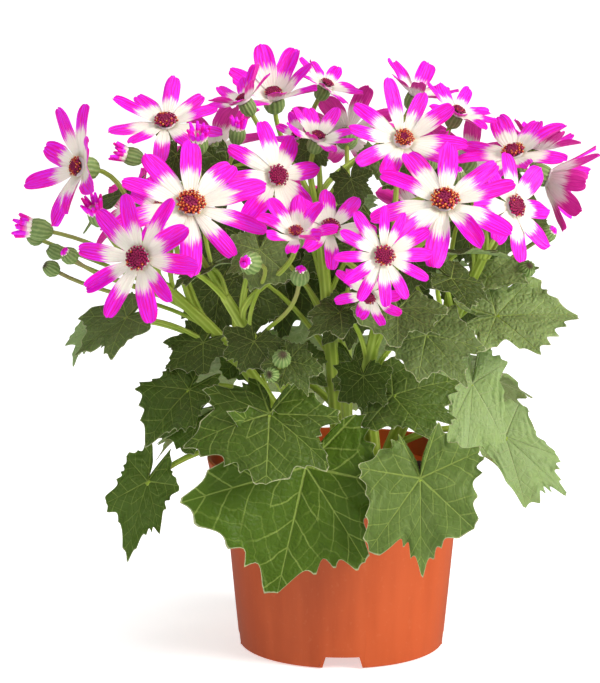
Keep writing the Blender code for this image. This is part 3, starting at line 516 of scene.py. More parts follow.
# Each flower head: its middle, turn and lift of its face in degrees, radius, number of rays, their rise and
# bend in degrees, its stem, how far up it the stalk starts, and whether the solids have its disc
BLOOMS = {
    "bloom_01": ((-76, -84, 246), 8, 42, 39, 10, 8, -14, "stem_front_left", 1.0, True),
    "bloom_02": ((-99, -124, 226), -22, 10, 32, 10, 8, -10, "stem_front_left", 0.92, True),
    "bloom_03": ((-134, -34, 259), -54, 12, 33, 8, 26, -8, "stem_left", 0.96, True),
    "bloom_04": ((-91, -14, 279), 0, 56, 31, 10, 12, -12, "stem_left", 1.0, True),
    "bloom_05": ((-51, 3, 289), -75, 60, 22, 8, 34, -6, "stem_middle", 0.6, False),
    "bloom_06": ((-36, 38, 288), -8, 62, 31, 8, 40, -6, "stem_middle", 0.92, False),
    "bloom_07": ((-8, 62, 291), 60, 58, 22, 8, 18, -8, "stem_middle", 0.98, True),
    "bloom_08": ((-13, -28, 273), 35, 62, 22, 8, 28, 0, "stem_middle", 1.0, True),
    "bloom_09": ((-23, -6, 272), -55, 36, 15, 8, 36, 0, "stem_middle", 0.89, False),
    "bloom_10": ((-34, -48, 256), 30, 20, 29, 8, -6, -8, "stem_middle", 0.8, True),
    "bloom_11": ((-24, -97, 234), 0, 54, 22, 8, 30, -4, "stem_front_left", 0.84, True),
    "bloom_12": ((-7, -66, 232), 15, 42, 24, 8, 10, -6, "stem_front_right", 0.9, True),
    "bloom_13": ((18, -122, 227), 14, 12, 26, 12, 9, -8, "stem_front_right", 0.84, True),
    "bloom_14": ((12, -104, 205), -30, -30, 20, 8, 8, -8, "stem_front_right", 0.74, True),
    "bloom_15": ((30, -46, 274), 8, 38, 33, 10, 20, -12, "stem_front_right", 1.0, True),
    "bloom_16": ((40, 48, 288), 60, 66, 25, 8, 36, -6, "stem_middle", 0.95, False),
    "bloom_17": ((60, 8, 282), 55, 58, 23, 8, 22, -8, "stem_right", 1.0, True),
    "bloom_18": ((49, -86, 248), 2, 47, 38, 10, 9, -14, "stem_front_right", 0.96, True),
    "bloom_19": ((86, -44, 240), 45, 18, 30, 8, 9, -8, "stem_right", 0.92, True),
    "bloom_20": ((89, -4, 262), -30, 62, 31, 8, 14, -10, "stem_right", 0.97, True),
    "bloom_21": ((104, 36, 260), 110, 74, 24, 8, 38, -4, "stem_right", 0.8, False),
    "bloom_22": ((108, 8, 248), 85, -20, 32, 8, 54, -10, "stem_right", 0.86, True),
    "bloom_23": ((-93, -40, 238), -20, 26, 19, 8, 10, -6, "stem_left", 0.8, False),
    "bloom_24": ((46, -6, 262), 170, 76, 19, 8, 38, -4, "stem_right", 0.94, False),
    "bloom_25": ((-68, 66, 258), -150, 48, 32, 8, 10, -10, "stem_back", 0.96, True),
    "bloom_26": ((4, 96, 262), 178, 40, 34, 8, 10, -12, "stem_back", 1.0, True),
    "bloom_27": ((70, 74, 250), 150, 42, 32, 8, 10, -10, "stem_back", 0.92, True),
    "bloom_28": ((-112, 40, 226), -118, 24, 29, 8, 10, -8, "stem_back", 0.8, False),
    "bloom_29": ((-34, 116, 216), -165, 14, 29, 8, 8, -8, "stem_back", 0.84, True),
    "bloom_30": ((44, 116, 214), 165, 14, 29, 8, 8, -8, "stem_back", 0.75, False),
}

# Each large leaf: where its stalk meets the blade, the way from there to its tip, the way its upper face
# looks, width factor, droop, its stem and how far up the stem its stalk starts
LARGE_LEAVES = {
    "front_low": ((-19, -82, 114), (-25, -14, -67), (0.16, -1.0, 0.2), 0.92, 0.05, "stem_front_left", 0.16),
    "front_mid": ((-37, -88, 142), (-8, -30, -32), (0.0, -0.7, 0.7), 1.10, 0.20, "stem_front_left", 0.38),
    "front_right": ((38, -91, 110), (4, -14, -48), (0.0, -1.0, 0.2), 0.88, 0.12, "stem_front_right", 0.18),
    "left_droop": ((-102, -14, 90), (-16, -14, -36), (-0.3, -0.9, 0.35), 0.60, 0.12, "stem_left", 0.20),
    "left_cluster": ((-79, -38, 144), (-25, -16, -20), (-0.2, -0.7, 0.7), 0.80, 0.30, "stem_left", 0.42),
    "right_droop": ((67, -30, 146), (0, -16, -52), (0.5, -0.8, 0.3), 0.54, 0.10, "stem_right", 0.36),
    "right_outer": ((86, -4, 112), (36, -4, -36), (0.3, -0.9, 0.3), 0.50, 0.15, "stem_right", 0.24),
    "right_high": ((79, -30, 181), (46, -2, 2), (0.0, -0.7, 0.8), 0.74, 0.20, "stem_right", 0.58),
    "back_left": ((-58, 52, 142), (-50, 26, -34), (-0.4, 0.5, 0.8), 0.80, 0.20, "stem_back", 0.30),
    "back_mid": ((-8, 88, 138), (-8, 44, -44), (0.0, 0.8, 0.7), 0.88, 0.20, "stem_back", 0.26),
    "back_right": ((60, 58, 140), (44, 32, -36), (0.5, 0.5, 0.8), 0.80, 0.20, "stem_back", 0.34),
    "dark_middle": ((25, -62, 146), (38, -14, -6), (0.0, -0.7, 0.7), 0.76, 0.30, "stem_front_right", 0.38),
}

# The smaller leaves, in the same terms
SMALL_LEAVES = {
    "upper_left": ((-111, -34, 181), (-27, -13, -12), (-0.2, -0.6, 0.8), 0.85, 0.3, "stem_left", 0.58),
    "far_left": ((-128, -2, 171), (-18, -6, -17), (-0.6, -0.5, 0.6), 0.75, 0.3, "stem_left", 0.64),
    "crinkled": ((41, -78, 180), (18, -22, -18), (0.0, -0.8, 0.6), 0.95, 0.3, "stem_front_right", 0.55),
    "under_blooms": ((27, -76, 193), (-6, -22, -14), (0.0, -0.6, 0.8), 1.25, 0.3, "stem_front_right", 0.68),
    "middle_fold": ((-2, -70, 190), (-14, -16, -6), (0.0, -0.6, 0.8), 0.85, 0.3, "stem_front_right", 0.62),
    "inner_a": ((-45, -74, 176), (-6, -14, -14), (0.0, -0.7, 0.7), 1.05, 0.3, "stem_front_left", 0.62),
    "inner_c": ((-28, -84, 168), (10, -14, -12), (0.0, -0.8, 0.6), 0.95, 0.3, "stem_front_left", 0.54),
    "behind_bud": ((-42, -72, 222), (-2, -10, -22), (0.0, -1.0, 0.3), 0.95, 0.2, "stem_front_left", 0.88),
    "edge_left": ((-112, -12, 242), (-26, -4, -16), (-0.4, -0.1, 0.9), 0.70, 0.2, "stem_left", 0.77),
    "edge_mid": ((-66, -58, 212), (-24, -10, -8), (0.0, 0.0, 1.0), 0.65, 0.2, "stem_front_left", 0.96),
    "right_light": ((75, -22, 200), (28, -4, 9), (0.0, -0.6, 0.8), 0.55, 0.2, "stem_right", 0.6),
    "left_inner": ((-72, -24, 166), (-21, -10, -13), (-0.2, -0.6, 0.8), 0.90, 0.3, "stem_left", 0.5),
    "gap_left": ((-64, 12, 192), (0, -8, -28), (0.0, -1.0, 0.2), 1.0, 0.2, "stem_middle", 0.5),
    "gap_centre": ((-30, 26, 192), (0, -10, -32), (0.0, -1.0, 0.2), 1.05, 0.2, "stem_middle", 0.56),
    "right_edge": ((56, -34, 214), (32, 4, 2), (0.0, 0.1, 1.0), 0.55, 0.1, "stem_right", 0.74),
    "right_fold": ((54, -62, 206), (22, -8, -10), (0.0, -0.5, 0.8), 0.65, 0.3, "stem_right", 0.66),
    "bright_low": ((10, -62, 156), (-1, -12, -18), (0.0, -0.9, 0.4), 0.90, 0.3, "stem_front_right", 0.47),
    "top_left": ((-56, 12, 262), (-12, 4, 0), (0.0, 0.0, 1.0), 0.85, 0.2, "stem_middle", 0.77),
    "top_middle": ((4, -30, 252), (3, -8, -16), (0.0, -1.0, 0.3), 0.85, 0.2, "stem_middle", 0.74),
    "top_right": ((94, -14, 231), (16, -4, -8), (0.2, -0.5, 0.8), 0.85, 0.2, "stem_right", 0.83),
    "low_left": ((-70, 10, 120), (-34, 14, -20), (-0.4, 0.2, 0.8), 0.85, 0.3, "stem_left", 0.26),
    "back_high_left": ((-44, 72, 196), (-30, 14, -12), (-0.2, 0.5, 0.8), 0.90, 0.3, "stem_back", 0.64),
    "back_high_right": ((46, 76, 194), (30, 16, -12), (0.2, 0.5, 0.8), 0.90, 0.3, "stem_back", 0.7),
    "back_top": ((2, 80, 226), (2, 26, -10), (0.0, 0.5, 0.8), 0.90, 0.3, "stem_back", 0.88),
    "behind_left": ((-52, 16, 208), (-12, -8, -38), (0.0, -1.0, 0.2), 1.0, 0.2, "stem_middle", 0.62),
    "behind_centre": ((-20, 22, 224), (2, -8, -38), (0.0, -1.0, 0.2), 1.0, 0.2, "stem_middle", 0.74),
    "behind_right": ((22, 14, 216), (6, -8, -38), (0.0, -1.0, 0.2), 1.0, 0.2, "stem_middle", 0.68),
    "behind_far_right": ((71, 14, 226), (8, -4, -34), (0.2, -1.0, 0.2), 0.8, 0.2, "stem_right", 0.62),
    "high_left": ((-60, 22, 252), (-8, -6, -26), (0.0, -1.0, 0.3), 0.9, 0.2, "stem_middle", 0.82),
    "high_right": ((36, 20, 258), (8, -6, -26), (0.0, -1.0, 0.3), 0.9, 0.2, "stem_middle", 0.9),
}

# The smallest leaves, in the same terms: they only close gaps between the others, so no solid has them
TINY_LEAVES = {
    "tiny_left_a": ((-49, 12, 187), (2, -6, -26), (0.0, -1.0, 0.3), 1.0, 0.2, "stem_left", 0.56),
    "tiny_left_b": ((-63, 10, 184), (-4, -6, -22), (-0.2, -1.0, 0.3), 1.0, 0.2, "stem_left", 0.6),
    "tiny_left_c": ((-50, -4, 158), (3, -8, -20), (0.0, -1.0, 0.3), 1.1, 0.3, "stem_left", 0.36),
    "tiny_left_d": ((-76, 2, 124), (-24, -5, -16), (-0.2, -0.7, 0.7), 0.9, 0.3, "stem_left", 0.22),
    "tiny_centre_a": ((-5, 10, 212), (1, -6, -27), (0.0, -1.0, 0.3), 0.9, 0.2, "stem_middle", 0.62),
    "tiny_centre_b": ((3, -4, 181), (4, -8, -22), (0.0, -1.0, 0.4), 1.0, 0.3, "stem_middle", 0.46),
    "tiny_centre_c": ((-24, 4, 152), (-2, -8, -22), (0.0, -1.0, 0.4), 1.0, 0.3, "stem_middle", 0.34),
    "tiny_centre_d": ((6, 6, 150), (4, -8, -20), (0.1, -1.0, 0.4), 1.0, 0.3, "stem_middle", 0.32),
    "tiny_right_a": ((37, -14, 208), (15, -6, -13), (0.1, -0.9, 0.5), 1.1, 0.3, "stem_right", 0.66),
    "tiny_right_b": ((65, -3, 191), (4, -8, -22), (0.1, -1.0, 0.3), 1.0, 0.3, "stem_right", 0.56),
    "tiny_right_c": ((30, 0, 186), (8, -8, -22), (0.0, -1.0, 0.3), 1.0, 0.3, "stem_right", 0.5),
    "tiny_top_a": ((-14, -12, 268), (-3, -8, -16), (0.0, -1.0, 0.3), 0.8, 0.2, "stem_middle", 0.9),
    "tiny_top_b": ((18, -12, 262), (3, -8, -16), (0.0, -1.0, 0.3), 0.8, 0.2, "stem_middle", 0.94),
    "tiny_top_c": ((-86, -6, 262), (-6, -8, -16), (-0.2, -1.0, 0.3), 0.8, 0.2, "stem_left", 0.95),
    "tiny_top_d": ((88, -8, 246), (4, -8, -17), (0.2, -1.0, 0.3), 0.8, 0.2, "stem_right", 0.92),
}

# Each bud: its middle, the way it points, its radius, whether it is half open, its stem and the stalk's start
BUDS = {
    "half_open_a": ((-157, -20, 225), (-1.0, 0.0, 0.2), 5.5, True, "stem_left", 0.86),
    "half_open_b": ((-108, -30, 264), (-1.0, -0.2, 0.3), 4.6, True, "stem_left", 0.9),
    "half_open_c": ((-73, -43, 272), (0.0, -0.5, 0.8), 4.6, True, "stem_front_left", 0.98),
    "half_open_d": ((-54, -26, 275), (0.1, -0.2, 1.0), 4.2, True, "stem_left", 0.98),
    "half_open_e": ((-125, -40, 235), (-0.3, -0.5, 0.8), 4.8, True, "stem_left", 0.78),
    "bud_left_a": ((-149, -12, 212), (-0.7, 0.0, 0.4), 4.2, False, "stem_left", 0.74),
    "bud_left_b": ((-150, -24, 205), (-0.6, -0.3, 0.4), 4.2, False, "stem_left", 0.7),
    "bud_left_c": ((-140, -32, 213), (-0.5, -0.4, 0.5), 4.4, False, "stem_left", 0.82),
    "bud_left_d": ((-160, -4, 218), (-0.8, 0.1, 0.3), 4.0, False, "stem_left", 0.8),
    "bud_front_a": ((-46, -106, 221), (-0.5, -0.8, 0.2), 5.6, False, "stem_front_left", 0.78),
    "bud_front_b": ((-22, -104, 214), (0.1, -0.4, 0.9), 4.6, False, "stem_front_left", 0.7),
    "bud_middle_a": ((-31, -98, 172), (0.1, -0.8, 0.6), 4.6, False, "stem_front_left", 0.58),
    "bud_middle_b": ((-36, -98, 164), (-0.3, -0.9, 0.2), 3.8, False, "stem_front_left", 0.52),
    "bud_right_a": ((95, -24, 205), (0.2, -0.8, 0.5), 4.4, False, "stem_right", 0.7),
    "bud_right_b": ((106, -16, 222), (0.6, -0.4, 0.5), 4.4, False, "stem_right", 0.77),
    "bud_top": ((58, -36, 254), (0.0, -0.3, 1.0), 4.4, False, "stem_right", 0.89),
}

STALK_RADIUS = 1.5
PETIOLE_RADIUS = 1.7
HUB = 1.4
STALK_RIBS = 5
RIB_HEIGHT = 0.07
# The leaf tables, each with the thickness of its leaf stalks and the rings and sides of its blades' grids
LEAVES = ((LARGE_LEAVES, 1.0, 19, 210), (SMALL_LEAVES, 0.75, 12, 147), (TINY_LEAVES, 0.6, 8, 84))
STEM_GREEN = (0.27, 0.39, 0.030, 1.0)
STEM_PALE = (0.44, 0.57, 0.09, 1.0)
STEM_FLUSH = (0.24, 0.16, 0.10, 1.0)


def unit(vector):
    """A vector, or each of many, divided by its length."""
    vector = np.asarray(vector, float)
    return vector / np.linalg.norm(vector, axis=-1, keepdims=True)


def around(angle, side, other):
    """Directions at angles from one direction towards another that is square to it."""
    return np.cos(angle)[..., None] * side + np.sin(angle)[..., None] * other


def along(path, share):
    """The point at a share of a path's length, and the direction there."""
    path = np.asarray(path, float)
    steps = np.diff(path, axis=0)
    gone = np.concatenate(([0], np.cumsum(np.linalg.norm(steps, axis=1))))
    want = share * gone[-1]
    i = min(int(np.searchsorted(gone, want, "right")) - 1, len(steps) - 1)
    return path[i] + unit(steps[i]) * (want - gone[i]), unit(steps[i])


def bend(start, start_way, end, end_way, steps=14):
    """A cubic curve that leaves the start and reaches the end in the given directions."""
    start = np.asarray(start, float)
    end = np.asarray(end, float)
    reach = np.linalg.norm(end - start) * 0.36
    t = np.linspace(0, 1, steps + 1)[:, None]
    first = start + unit(start_way) * reach
    last = end - unit(end_way) * reach
    return (1 - t) ** 3 * start + 3 * (1 - t) ** 2 * t * first + 3 * (1 - t) * t**2 * last + t**3 * end


def smooth_path(path, count):
    """A curve through a path's points: each span is a cubic whose ends follow the neighbouring points."""
    path = np.asarray(path, float)
    ways = np.gradient(path, axis=0)
    place = np.linspace(0, len(path) - 1, count)
    i = np.minimum(place.astype(int), len(path) - 2)
    t = (place - i)[:, None]
    ahead = (2 * t**3 - 3 * t**2 + 1) * path[i] + (3 * t**2 - 2 * t**3) * path[i + 1]
    return ahead + (t**3 - 2 * t**2 + t) * ways[i] + (t**3 - t**2) * ways[i + 1]


def rod(path, radii, sides=12, ribs=0, flush=0.0):
    """A rod along a path, closed at both ends by points. Ribs are a cosine ripple of its radius."""
    tangents = unit(np.gradient(path, axis=0))
    side = unit(np.cross(tangents, (0.31, 0.95, 0.1)))
    other = np.cross(tangents, side)
    angle = 2 * math.pi * np.arange(sides) / sides
    radii = np.asarray(radii, float)[:, None] * (1 + RIB_HEIGHT * np.cos(ribs * angle) * (ribs > 0))
    radii = np.concatenate((radii[:1] * 0, radii, radii[-1:] * 0))
    path, side, other = (np.concatenate((a[:1], a, a[-1:])) for a in (path, side, other))
    grid = path[:, None] + radii[..., None] * around(angle, side[:, None], other[:, None])
    share = np.linspace(0, 1, len(path))[:, None]
    words = np.stack(np.broadcast_arrays(share, flush, np.cos(ribs * angle)), -1)
    return closed(grid, stalk=words)


def face_frame(turn, lift):
    """Outward direction of a flower's face, and two directions in the plane of its rays."""
    turn = math.radians(turn)
    lift = math.radians(lift)
    out = np.array((math.cos(lift) * math.sin(turn), -math.cos(lift) * math.cos(turn), math.sin(lift)))
    across = np.array((math.cos(turn), math.sin(turn), 0.0))
    return out, across, np.cross(out, across)


def hub_radius(radius):
    """Radius of the plate that the rays grow from: 1 mm and about a sixth of the head's."""
    return 1.0 + 0.155 * radius


def cup_depth(radius):
    """Depth of the green cup under a head: 3 mm and a little more than the hub's radius."""
    return 3.0 + 1.15 * hub_radius(radius)


def leaf_frame(tip, face):
    """Axis, side and upper normal of a leaf, from the way to its tip and the way its upper face looks."""
    axis = unit(tip)
    normal = np.asarray(face, float)
    normal = unit(normal - axis * np.dot(normal, axis))
    return axis, np.cross(normal, axis), normal


def stem_rods(name):
    """The stem and every stalk that leaves it for a flower head, a leaf or a bud."""
    base, tip, path = STEMS[name]
    shapes = [rod(smooth_path(path, 40), np.linspace(base, tip, 40), 28, 7, 0.2)]
    for middle, turn, lift, radius, *_, stem, share, _ in BLOOMS.values():
        if stem == name:
            out = face_frame(turn, lift)[0]
            start, way = along(path, share)
            line = bend(start, way, np.array(middle, float) - out * (cup_depth(radius) - 1.0), out)
            radii = np.linspace(STALK_RADIUS * 1.1, STALK_RADIUS * 0.8, len(line))
            shapes.append(rod(line, radii, 14, STALK_RIBS, 0.6))
    for table, thickness, _, _ in LEAVES:
        size = PETIOLE_RADIUS * thickness
        for place, tip, face, _, _, stem, share in table.values():
            if stem == name:
                start, way = along(path, share)
                axis, _, normal = leaf_frame(tip, face)
                away = unit(np.array(place, float) - start)
                line = bend(start, way + away, np.array(place) + axis * 2.0 - normal * 0.3, axis + away * 0.6)
                shapes.append(rod(line, np.linspace(size * 1.2, size * 0.75, len(line)), 14, STALK_RIBS, 0.1))
    for middle, way, radius, _, stem, share in BUDS.values():
        if stem == name:
            start, stem_way = along(path, share)
            line = bend(start, stem_way, np.array(middle) - unit(way) * radius, way)
            shapes.append(rod(line, np.full(len(line), STALK_RADIUS * 0.7), 12, STALK_RIBS, 0.7))
    return join_shapes(shapes)


stalk_green = Finish("stalk_green", 0.5)
stalk_up, flush, rib = stalk_green.words("stalk")
at = stalk_green.at()
patch = stalk_green.noise(at, 60.0, 3.0)
green = stalk_green.mix((rib * 0.3 + patch).step(0.3, 0.85), STEM_GREEN, STEM_PALE)
flushed = (stalk_up * flush * patch * 1.6).step(0.1, 1.0)
stalk_green.set(Base_Color=stalk_green.mix(flushed, green, STEM_FLUSH), Specular_IOR_Level=0.4)
stalk_green.set(Subsurface_Weight=0.12, Subsurface_Radius=(0.6, 1.0, 0.3), Subsurface_Scale=0.0015)
stalk_green.bump(stalk_green.noise(at, 900.0, 2.0), 0.2, 0.0004)
for name in STEMS:
    add_piece(name + "_stalks", stem_rods(name), stalk_green, "green", name)


# Leaves
# Thin, soft, palmate blades of seven lobes, toothed all round. A pale main vein runs into each lobe and side
# veins leave it in pairs, and the blade puckers up between. The edge is cream, the underside pale grey-green.

LOBES = 7
NOTCH_DEPTH = 0.25
LEAF_WAVE = 0.08
LEAF_SPREAD = 0.16
LEAF_THICKNESS = 0.5
TEETH = 26
TOOTH_DEPTH = 0.14
PUCKER = 0.045
RUFFLE = 0.028
COCKLE = 0.012
LEAF_DARK = (0.046, 0.072, 0.010, 1.0)
LEAF_LIGHT = (0.058, 0.112, 0.003, 1.0)
# A lighter grey-green for the silvery down and for the painted sheen of the upper faces in the key light
LEAF_DOWN_AND_SHEEN = (0.23, 0.31, 0.105, 1.0)
LEAF_VEIN = (0.36, 0.46, 0.10, 1.0)
LEAF_EDGE = (0.58, 0.56, 0.36, 1.0)
LEAF_UNDER = (0.23, 0.33, 0.095, 1.0)
LEAF_UNDER_PALE = (0.27, 0.36, 0.16, 1.0)
LEAF_UNDER_VEIN = (0.40, 0.47, 0.22, 1.0)
TURNED_OVER = {"right_droop", "right_outer", "far_left"}
# How much silvery down and painted sheen the upper face carries, where it is more or less than on the other
# leaves
# The sheen is painted light: it lightens most the leaves that the key light falls on brightest, on the right
DOWN_AND_SHEEN = {"right_high": 0.85, "crinkled": 0.40, "front_right": 0.30, "right_light": 0.7, "behind_bud": 0.4,
         "under_blooms": 0.25, "front_low": 0.0, "front_mid": 0.02, "bright_low": 0.0, "upper_left": 0.3}


def leaf_reach(angle, sway):
    """Outline of a palmate leaf: distance from the stalk's joint to the edge, as a share of its length.

    A cosine makes it longer to the tip, a bell curve cuts the notch at the stalk, and a sine makes the lobes.
    """
    envelope = 0.52 + 0.48 * np.abs(np.cos(angle / 2)) ** 1.2
    notch = 1 - 0.82 * np.exp(-(((math.pi - np.abs(angle)) / 0.3) ** 2))
    uneven = 1 + 0.06 * np.sin(2 * angle + sway) + 0.05 * np.sin(5 * angle + 2 * sway)
    return envelope * notch * uneven * (1 - NOTCH_DEPTH * np.abs(np.sin(LOBES * angle / 2)) ** 1.05)


def leaf_bearing(angle, sway):
    """Direction of an outline point in the blade's plane. The lobes stand a little unevenly."""
    return angle + LEAF_SPREAD * np.cos(angle / 2) * np.sin(2 * angle + 3 * sway)


def leaf_height(x, y, size, droop, phase, fold):
    """Height of the blade over its flat plane: it droops to the tip and sides and waves round its edge."""
    reach = np.hypot(x, y) / size
    ripple = LEAF_WAVE * size * reach**2 * np.sin(3 * np.arctan2(y, x) + phase)
    return ripple - droop * (x * np.abs(x) * 0.8 + y * y * 0.5) / size + fold * np.abs(y)


def leaf_shape(name, entry, rings, sides):
    """A closed leaf blade on a polar grid about the stalk's joint: the share of the reach by the angle.

    Teeth are a ripple of the outline, and the puckers rise as the sine of the angle between two main veins.
    """
    place, tip, face, wide, droop = entry[:5]
    chance = random.Random(name)
    phase = chance.uniform(0, 6)
    sway = chance.uniform(0, 6)
    fold = chance.uniform(0.05, 0.26)
    crinkle = chance.uniform(0, 6)
    axis, side, normal = leaf_frame(tip, face)
    size = float(np.linalg.norm(tip))
    angle = np.linspace(-math.pi, math.pi, sides, endpoint=False)[None, :]
    share = (np.linspace(0, 1, rings) ** 0.85)[:, None]
    ripple = TEETH * angle / 2 + 0.9 * np.sin(4 * angle + phase) + 0.5 * np.sin(9 * angle + sway)
    teeth = TOOTH_DEPTH * np.abs(np.sin(ripple)) * (0.75 + 0.25 * np.sin(3 * angle + crinkle))
    reach = leaf_reach(angle, sway) * (1 - teeth * share**6) * share * size
    bearing = leaf_bearing(angle, sway)
    x = reach * np.cos(bearing)
    y = reach * np.sin(bearing) * wide
    between = np.abs(np.sin(LOBES * angle / 2))
    pucker = PUCKER * size * between**0.7 * share * (1.25 - share)
    ruffle = RUFFLE * size * share**4 * np.sin(11 * angle + crinkle)
    cockle = COCKLE * size * share * np.sin(9 * share * math.pi + 2.5 * np.sin(LOBES * angle)) * between
    height = leaf_height(x, y, size, droop, phase, fold) + pucker + ruffle + cockle
    half = LEAF_THICKNESS / 2 * (1.1 - 0.6 * share)
    middle = np.array(place, float) + x[..., None] * axis + y[..., None] * side
    upper = middle + (height + half)[..., None] * normal
    lower = middle + (height - half)[..., None] * normal
    grid = np.concatenate((upper, lower[::-1]))
    flat = (reach * np.cos(angle) / size, reach * np.sin(angle) / size, share)
    word = np.stack(np.broadcast_arrays(*flat), -1)
    tone = np.clip((place[2] - 105) / 90, 0, 1)
    beneath = np.repeat((1.0, 0.0) if name in TURNED_OVER else (0.0, 1.0), rings)[:, None]
    # Each leaf's share of silvery down and painted sheen, which stands in for the key light on its upper face
    down = DOWN_AND_SHEEN.get(name, 0.02 + 0.12 * chance.random())
    sort = np.stack(np.broadcast_arrays(tone, beneath, down), -1)
    return closed(grid, leaf=np.concatenate((word, word[::-1])), sort=sort)


leaf_green = Finish("leaf_blade")
leaf_x, leaf_y, leaf_share = leaf_green.words("leaf")
tone, under, down = leaf_green.words("sort")
at = leaf_green.at()
mottle = leaf_green.noise(at, 90.0, 4.0)
wobble = leaf_green.noise(at, 110.0, 3.0) * 0.10
lobe = 2 * math.pi / LOBES
bearing = leaf_y.math("ARCTAN2", leaf_x)
from_vein = bearing - (bearing / lobe).math("ROUND") * lobe
far = (leaf_x * leaf_x + leaf_y * leaf_y).math("SQRT")
beside = (from_vein.math("SINE") * far).size()
ahead = from_vein.math("COSINE") * far
main_vein = (beside + ahead * 0.008 + wobble * 0.1).step(0.019, 0.010)
ladder = (ahead - beside * 1.3 + beside * beside * 1.4 + wobble * 0.6) * 5.0
side_vein = ladder.off_whole().step(0.055, 0.025) * beside.step(0.30, 0.08)
twig = (beside * 0.9 + ahead * 0.5 + wobble) * 11.0
twigs = twig.off_whole().step(0.09, 0.03) * beside.step(0.02, 0.08)
vein = main_vein.math("MAXIMUM", side_vein * 0.7 + twigs * 0.25)
blade = leaf_green.mix((tone + (mottle - 0.5) * 0.6).step(0.05, 0.9), LEAF_LIGHT, LEAF_DARK)
# Silvery down and painted sheen: the upper face lightened towards grey-green where the key light falls most
down_and_sheen_blade = leaf_green.mix(down * (mottle * 1.6 + 0.2), blade, LEAF_DOWN_AND_SHEEN)
veined = leaf_green.mix(vein * 0.5, down_and_sheen_blade, LEAF_VEIN)
edged = leaf_green.mix((leaf_share + wobble * 0.2).step(0.985, 1.0) * 0.5, veined, LEAF_EDGE)
back = leaf_green.mix(vein * 0.5, leaf_green.mix(mottle, LEAF_UNDER, LEAF_UNDER_PALE), LEAF_UNDER_VEIN)
net = leaf_green.node("ShaderNodeTexVoronoi", {"feature": "DISTANCE_TO_EDGE"}, {"Vector": at, "Scale": 330.0})
leaf_green.set(
    Base_Color=leaf_green.mix(under.step(0.4, 0.6), edged, back),
    Roughness=0.58 - mottle * 0.10 + under * 0.12,
    Specular_IOR_Level=0.22,
    Subsurface_Weight=0.1,
    Subsurface_Radius=(0.5, 1.0, 0.1),
    Subsurface_Scale=0.001,
)
leaf_green.bump(net.step(0.0, 0.35) * (0.35 + tone * 0.5) - vein * 0.9 + mottle * 0.3, 0.6, 0.0009)
for name in STEMS:
    blades = [leaf_shape(key, entry, rings, sides) for table, _, rings, sides in LEAVES
              for key, entry in table.items() if entry[5] == name]
    add_piece(name + "_leaves", join_shapes(blades), leaf_green, "green", name, crease=50)


# Flower cups and buds
# A green cup of narrow scales holds each head. They are joined for most of their length, so the cup looks
# ribbed, and their free tips are brown-purple. Young rays push out of the buds, rolled and magenta.

CUP_SCALES = 13
# Levels of the cups from the stalk up. A head's: how deep and how wide, as shares of its depth and of its hub.
# A bud's: how far past its middle and how wide, as shares of its radius
HEAD_CUP = ((1, 0), (1, 0.30), (0.94, 0.52), (0.8, 0.78), (0.55, 0.94), (0.3, 0.95), (0.08, 0.90),
            (0, 0.86), (0, 0))
OPEN_CUP = ((-1.5, 0), (-1.4, 0.35), (-1.1, 0.7), (-0.5, 0.98), (0.1, 1.0), (0.5, 0.9), (0.62, 0.85),
            (0.4, 0))
SHUT_CUP = ((-1.1, 0), (-1.05, 0.35), (-0.8, 0.7), (-0.3, 0.98), (0.2, 0.98), (0.7, 0.74), (1.0, 0.45),
            (0.8, 0))
GREEN_BUDS = {"bud_middle_a", "bud_middle_b", "bud_left_a", "bud_left_b", "bud_left_d", "bud_right_a"}
CUP_GREEN = (0.14, 0.24, 0.055, 1.0)
CUP_PALE = (0.28, 0.38, 0.12, 1.0)
CUP_TIP = (0.10, 0.03, 0.045, 1.0)


def scaled_cup(middle, way, levels, sides=52):
    """A cup of (distance, radius) levels about its axis. Its scales ripple its radius and its top edge."""
    way = unit(way)
    side = unit(np.cross(way, (0.2, 0.3, 0.93)))
    other = np.cross(way, side)
    levels = np.array(levels, float)
    angle = 2 * math.pi * np.arange(sides) / sides
    ripple = np.cos(CUP_SCALES * angle)
    share = np.linspace(0, 1, len(levels))[:, None]
    radius = levels[:, 1:] * (1 + 0.05 * ripple * np.sin(share * math.pi) ** 0.5)
    distance = levels[:, :1] + ripple * 0.5 * share**3
    distance[[0, -1]] = levels[[0, -1], :1]
    grid = np.array(middle, float) + distance[..., None] * way
    grid = grid + radius[..., None] * around(angle, side, other)
    return closed(grid, scale=np.stack(np.broadcast_arrays(share, ripple, 0.0), -1))


def head_cup(middle, turn, lift, radius):
    """The cup under a flower head, as wide as its hub."""
    top = -HUB / 2 - 0.2
    levels = [(top - cup_depth(radius) * down, hub_radius(radius) * wide) for down, wide in HEAD_CUP]
    return scaled_cup(middle, face_frame(turn, lift)[0], levels)


def bud_cup(middle, way, radius, half_open):
    """The cup of a bud: a ball that stands open at its end, or draws in to a shut tip."""
    levels = OPEN_CUP if half_open else SHUT_CUP
    return scaled_cup(middle, way, [(radius * up, radius * wide) for up, wide in levels])


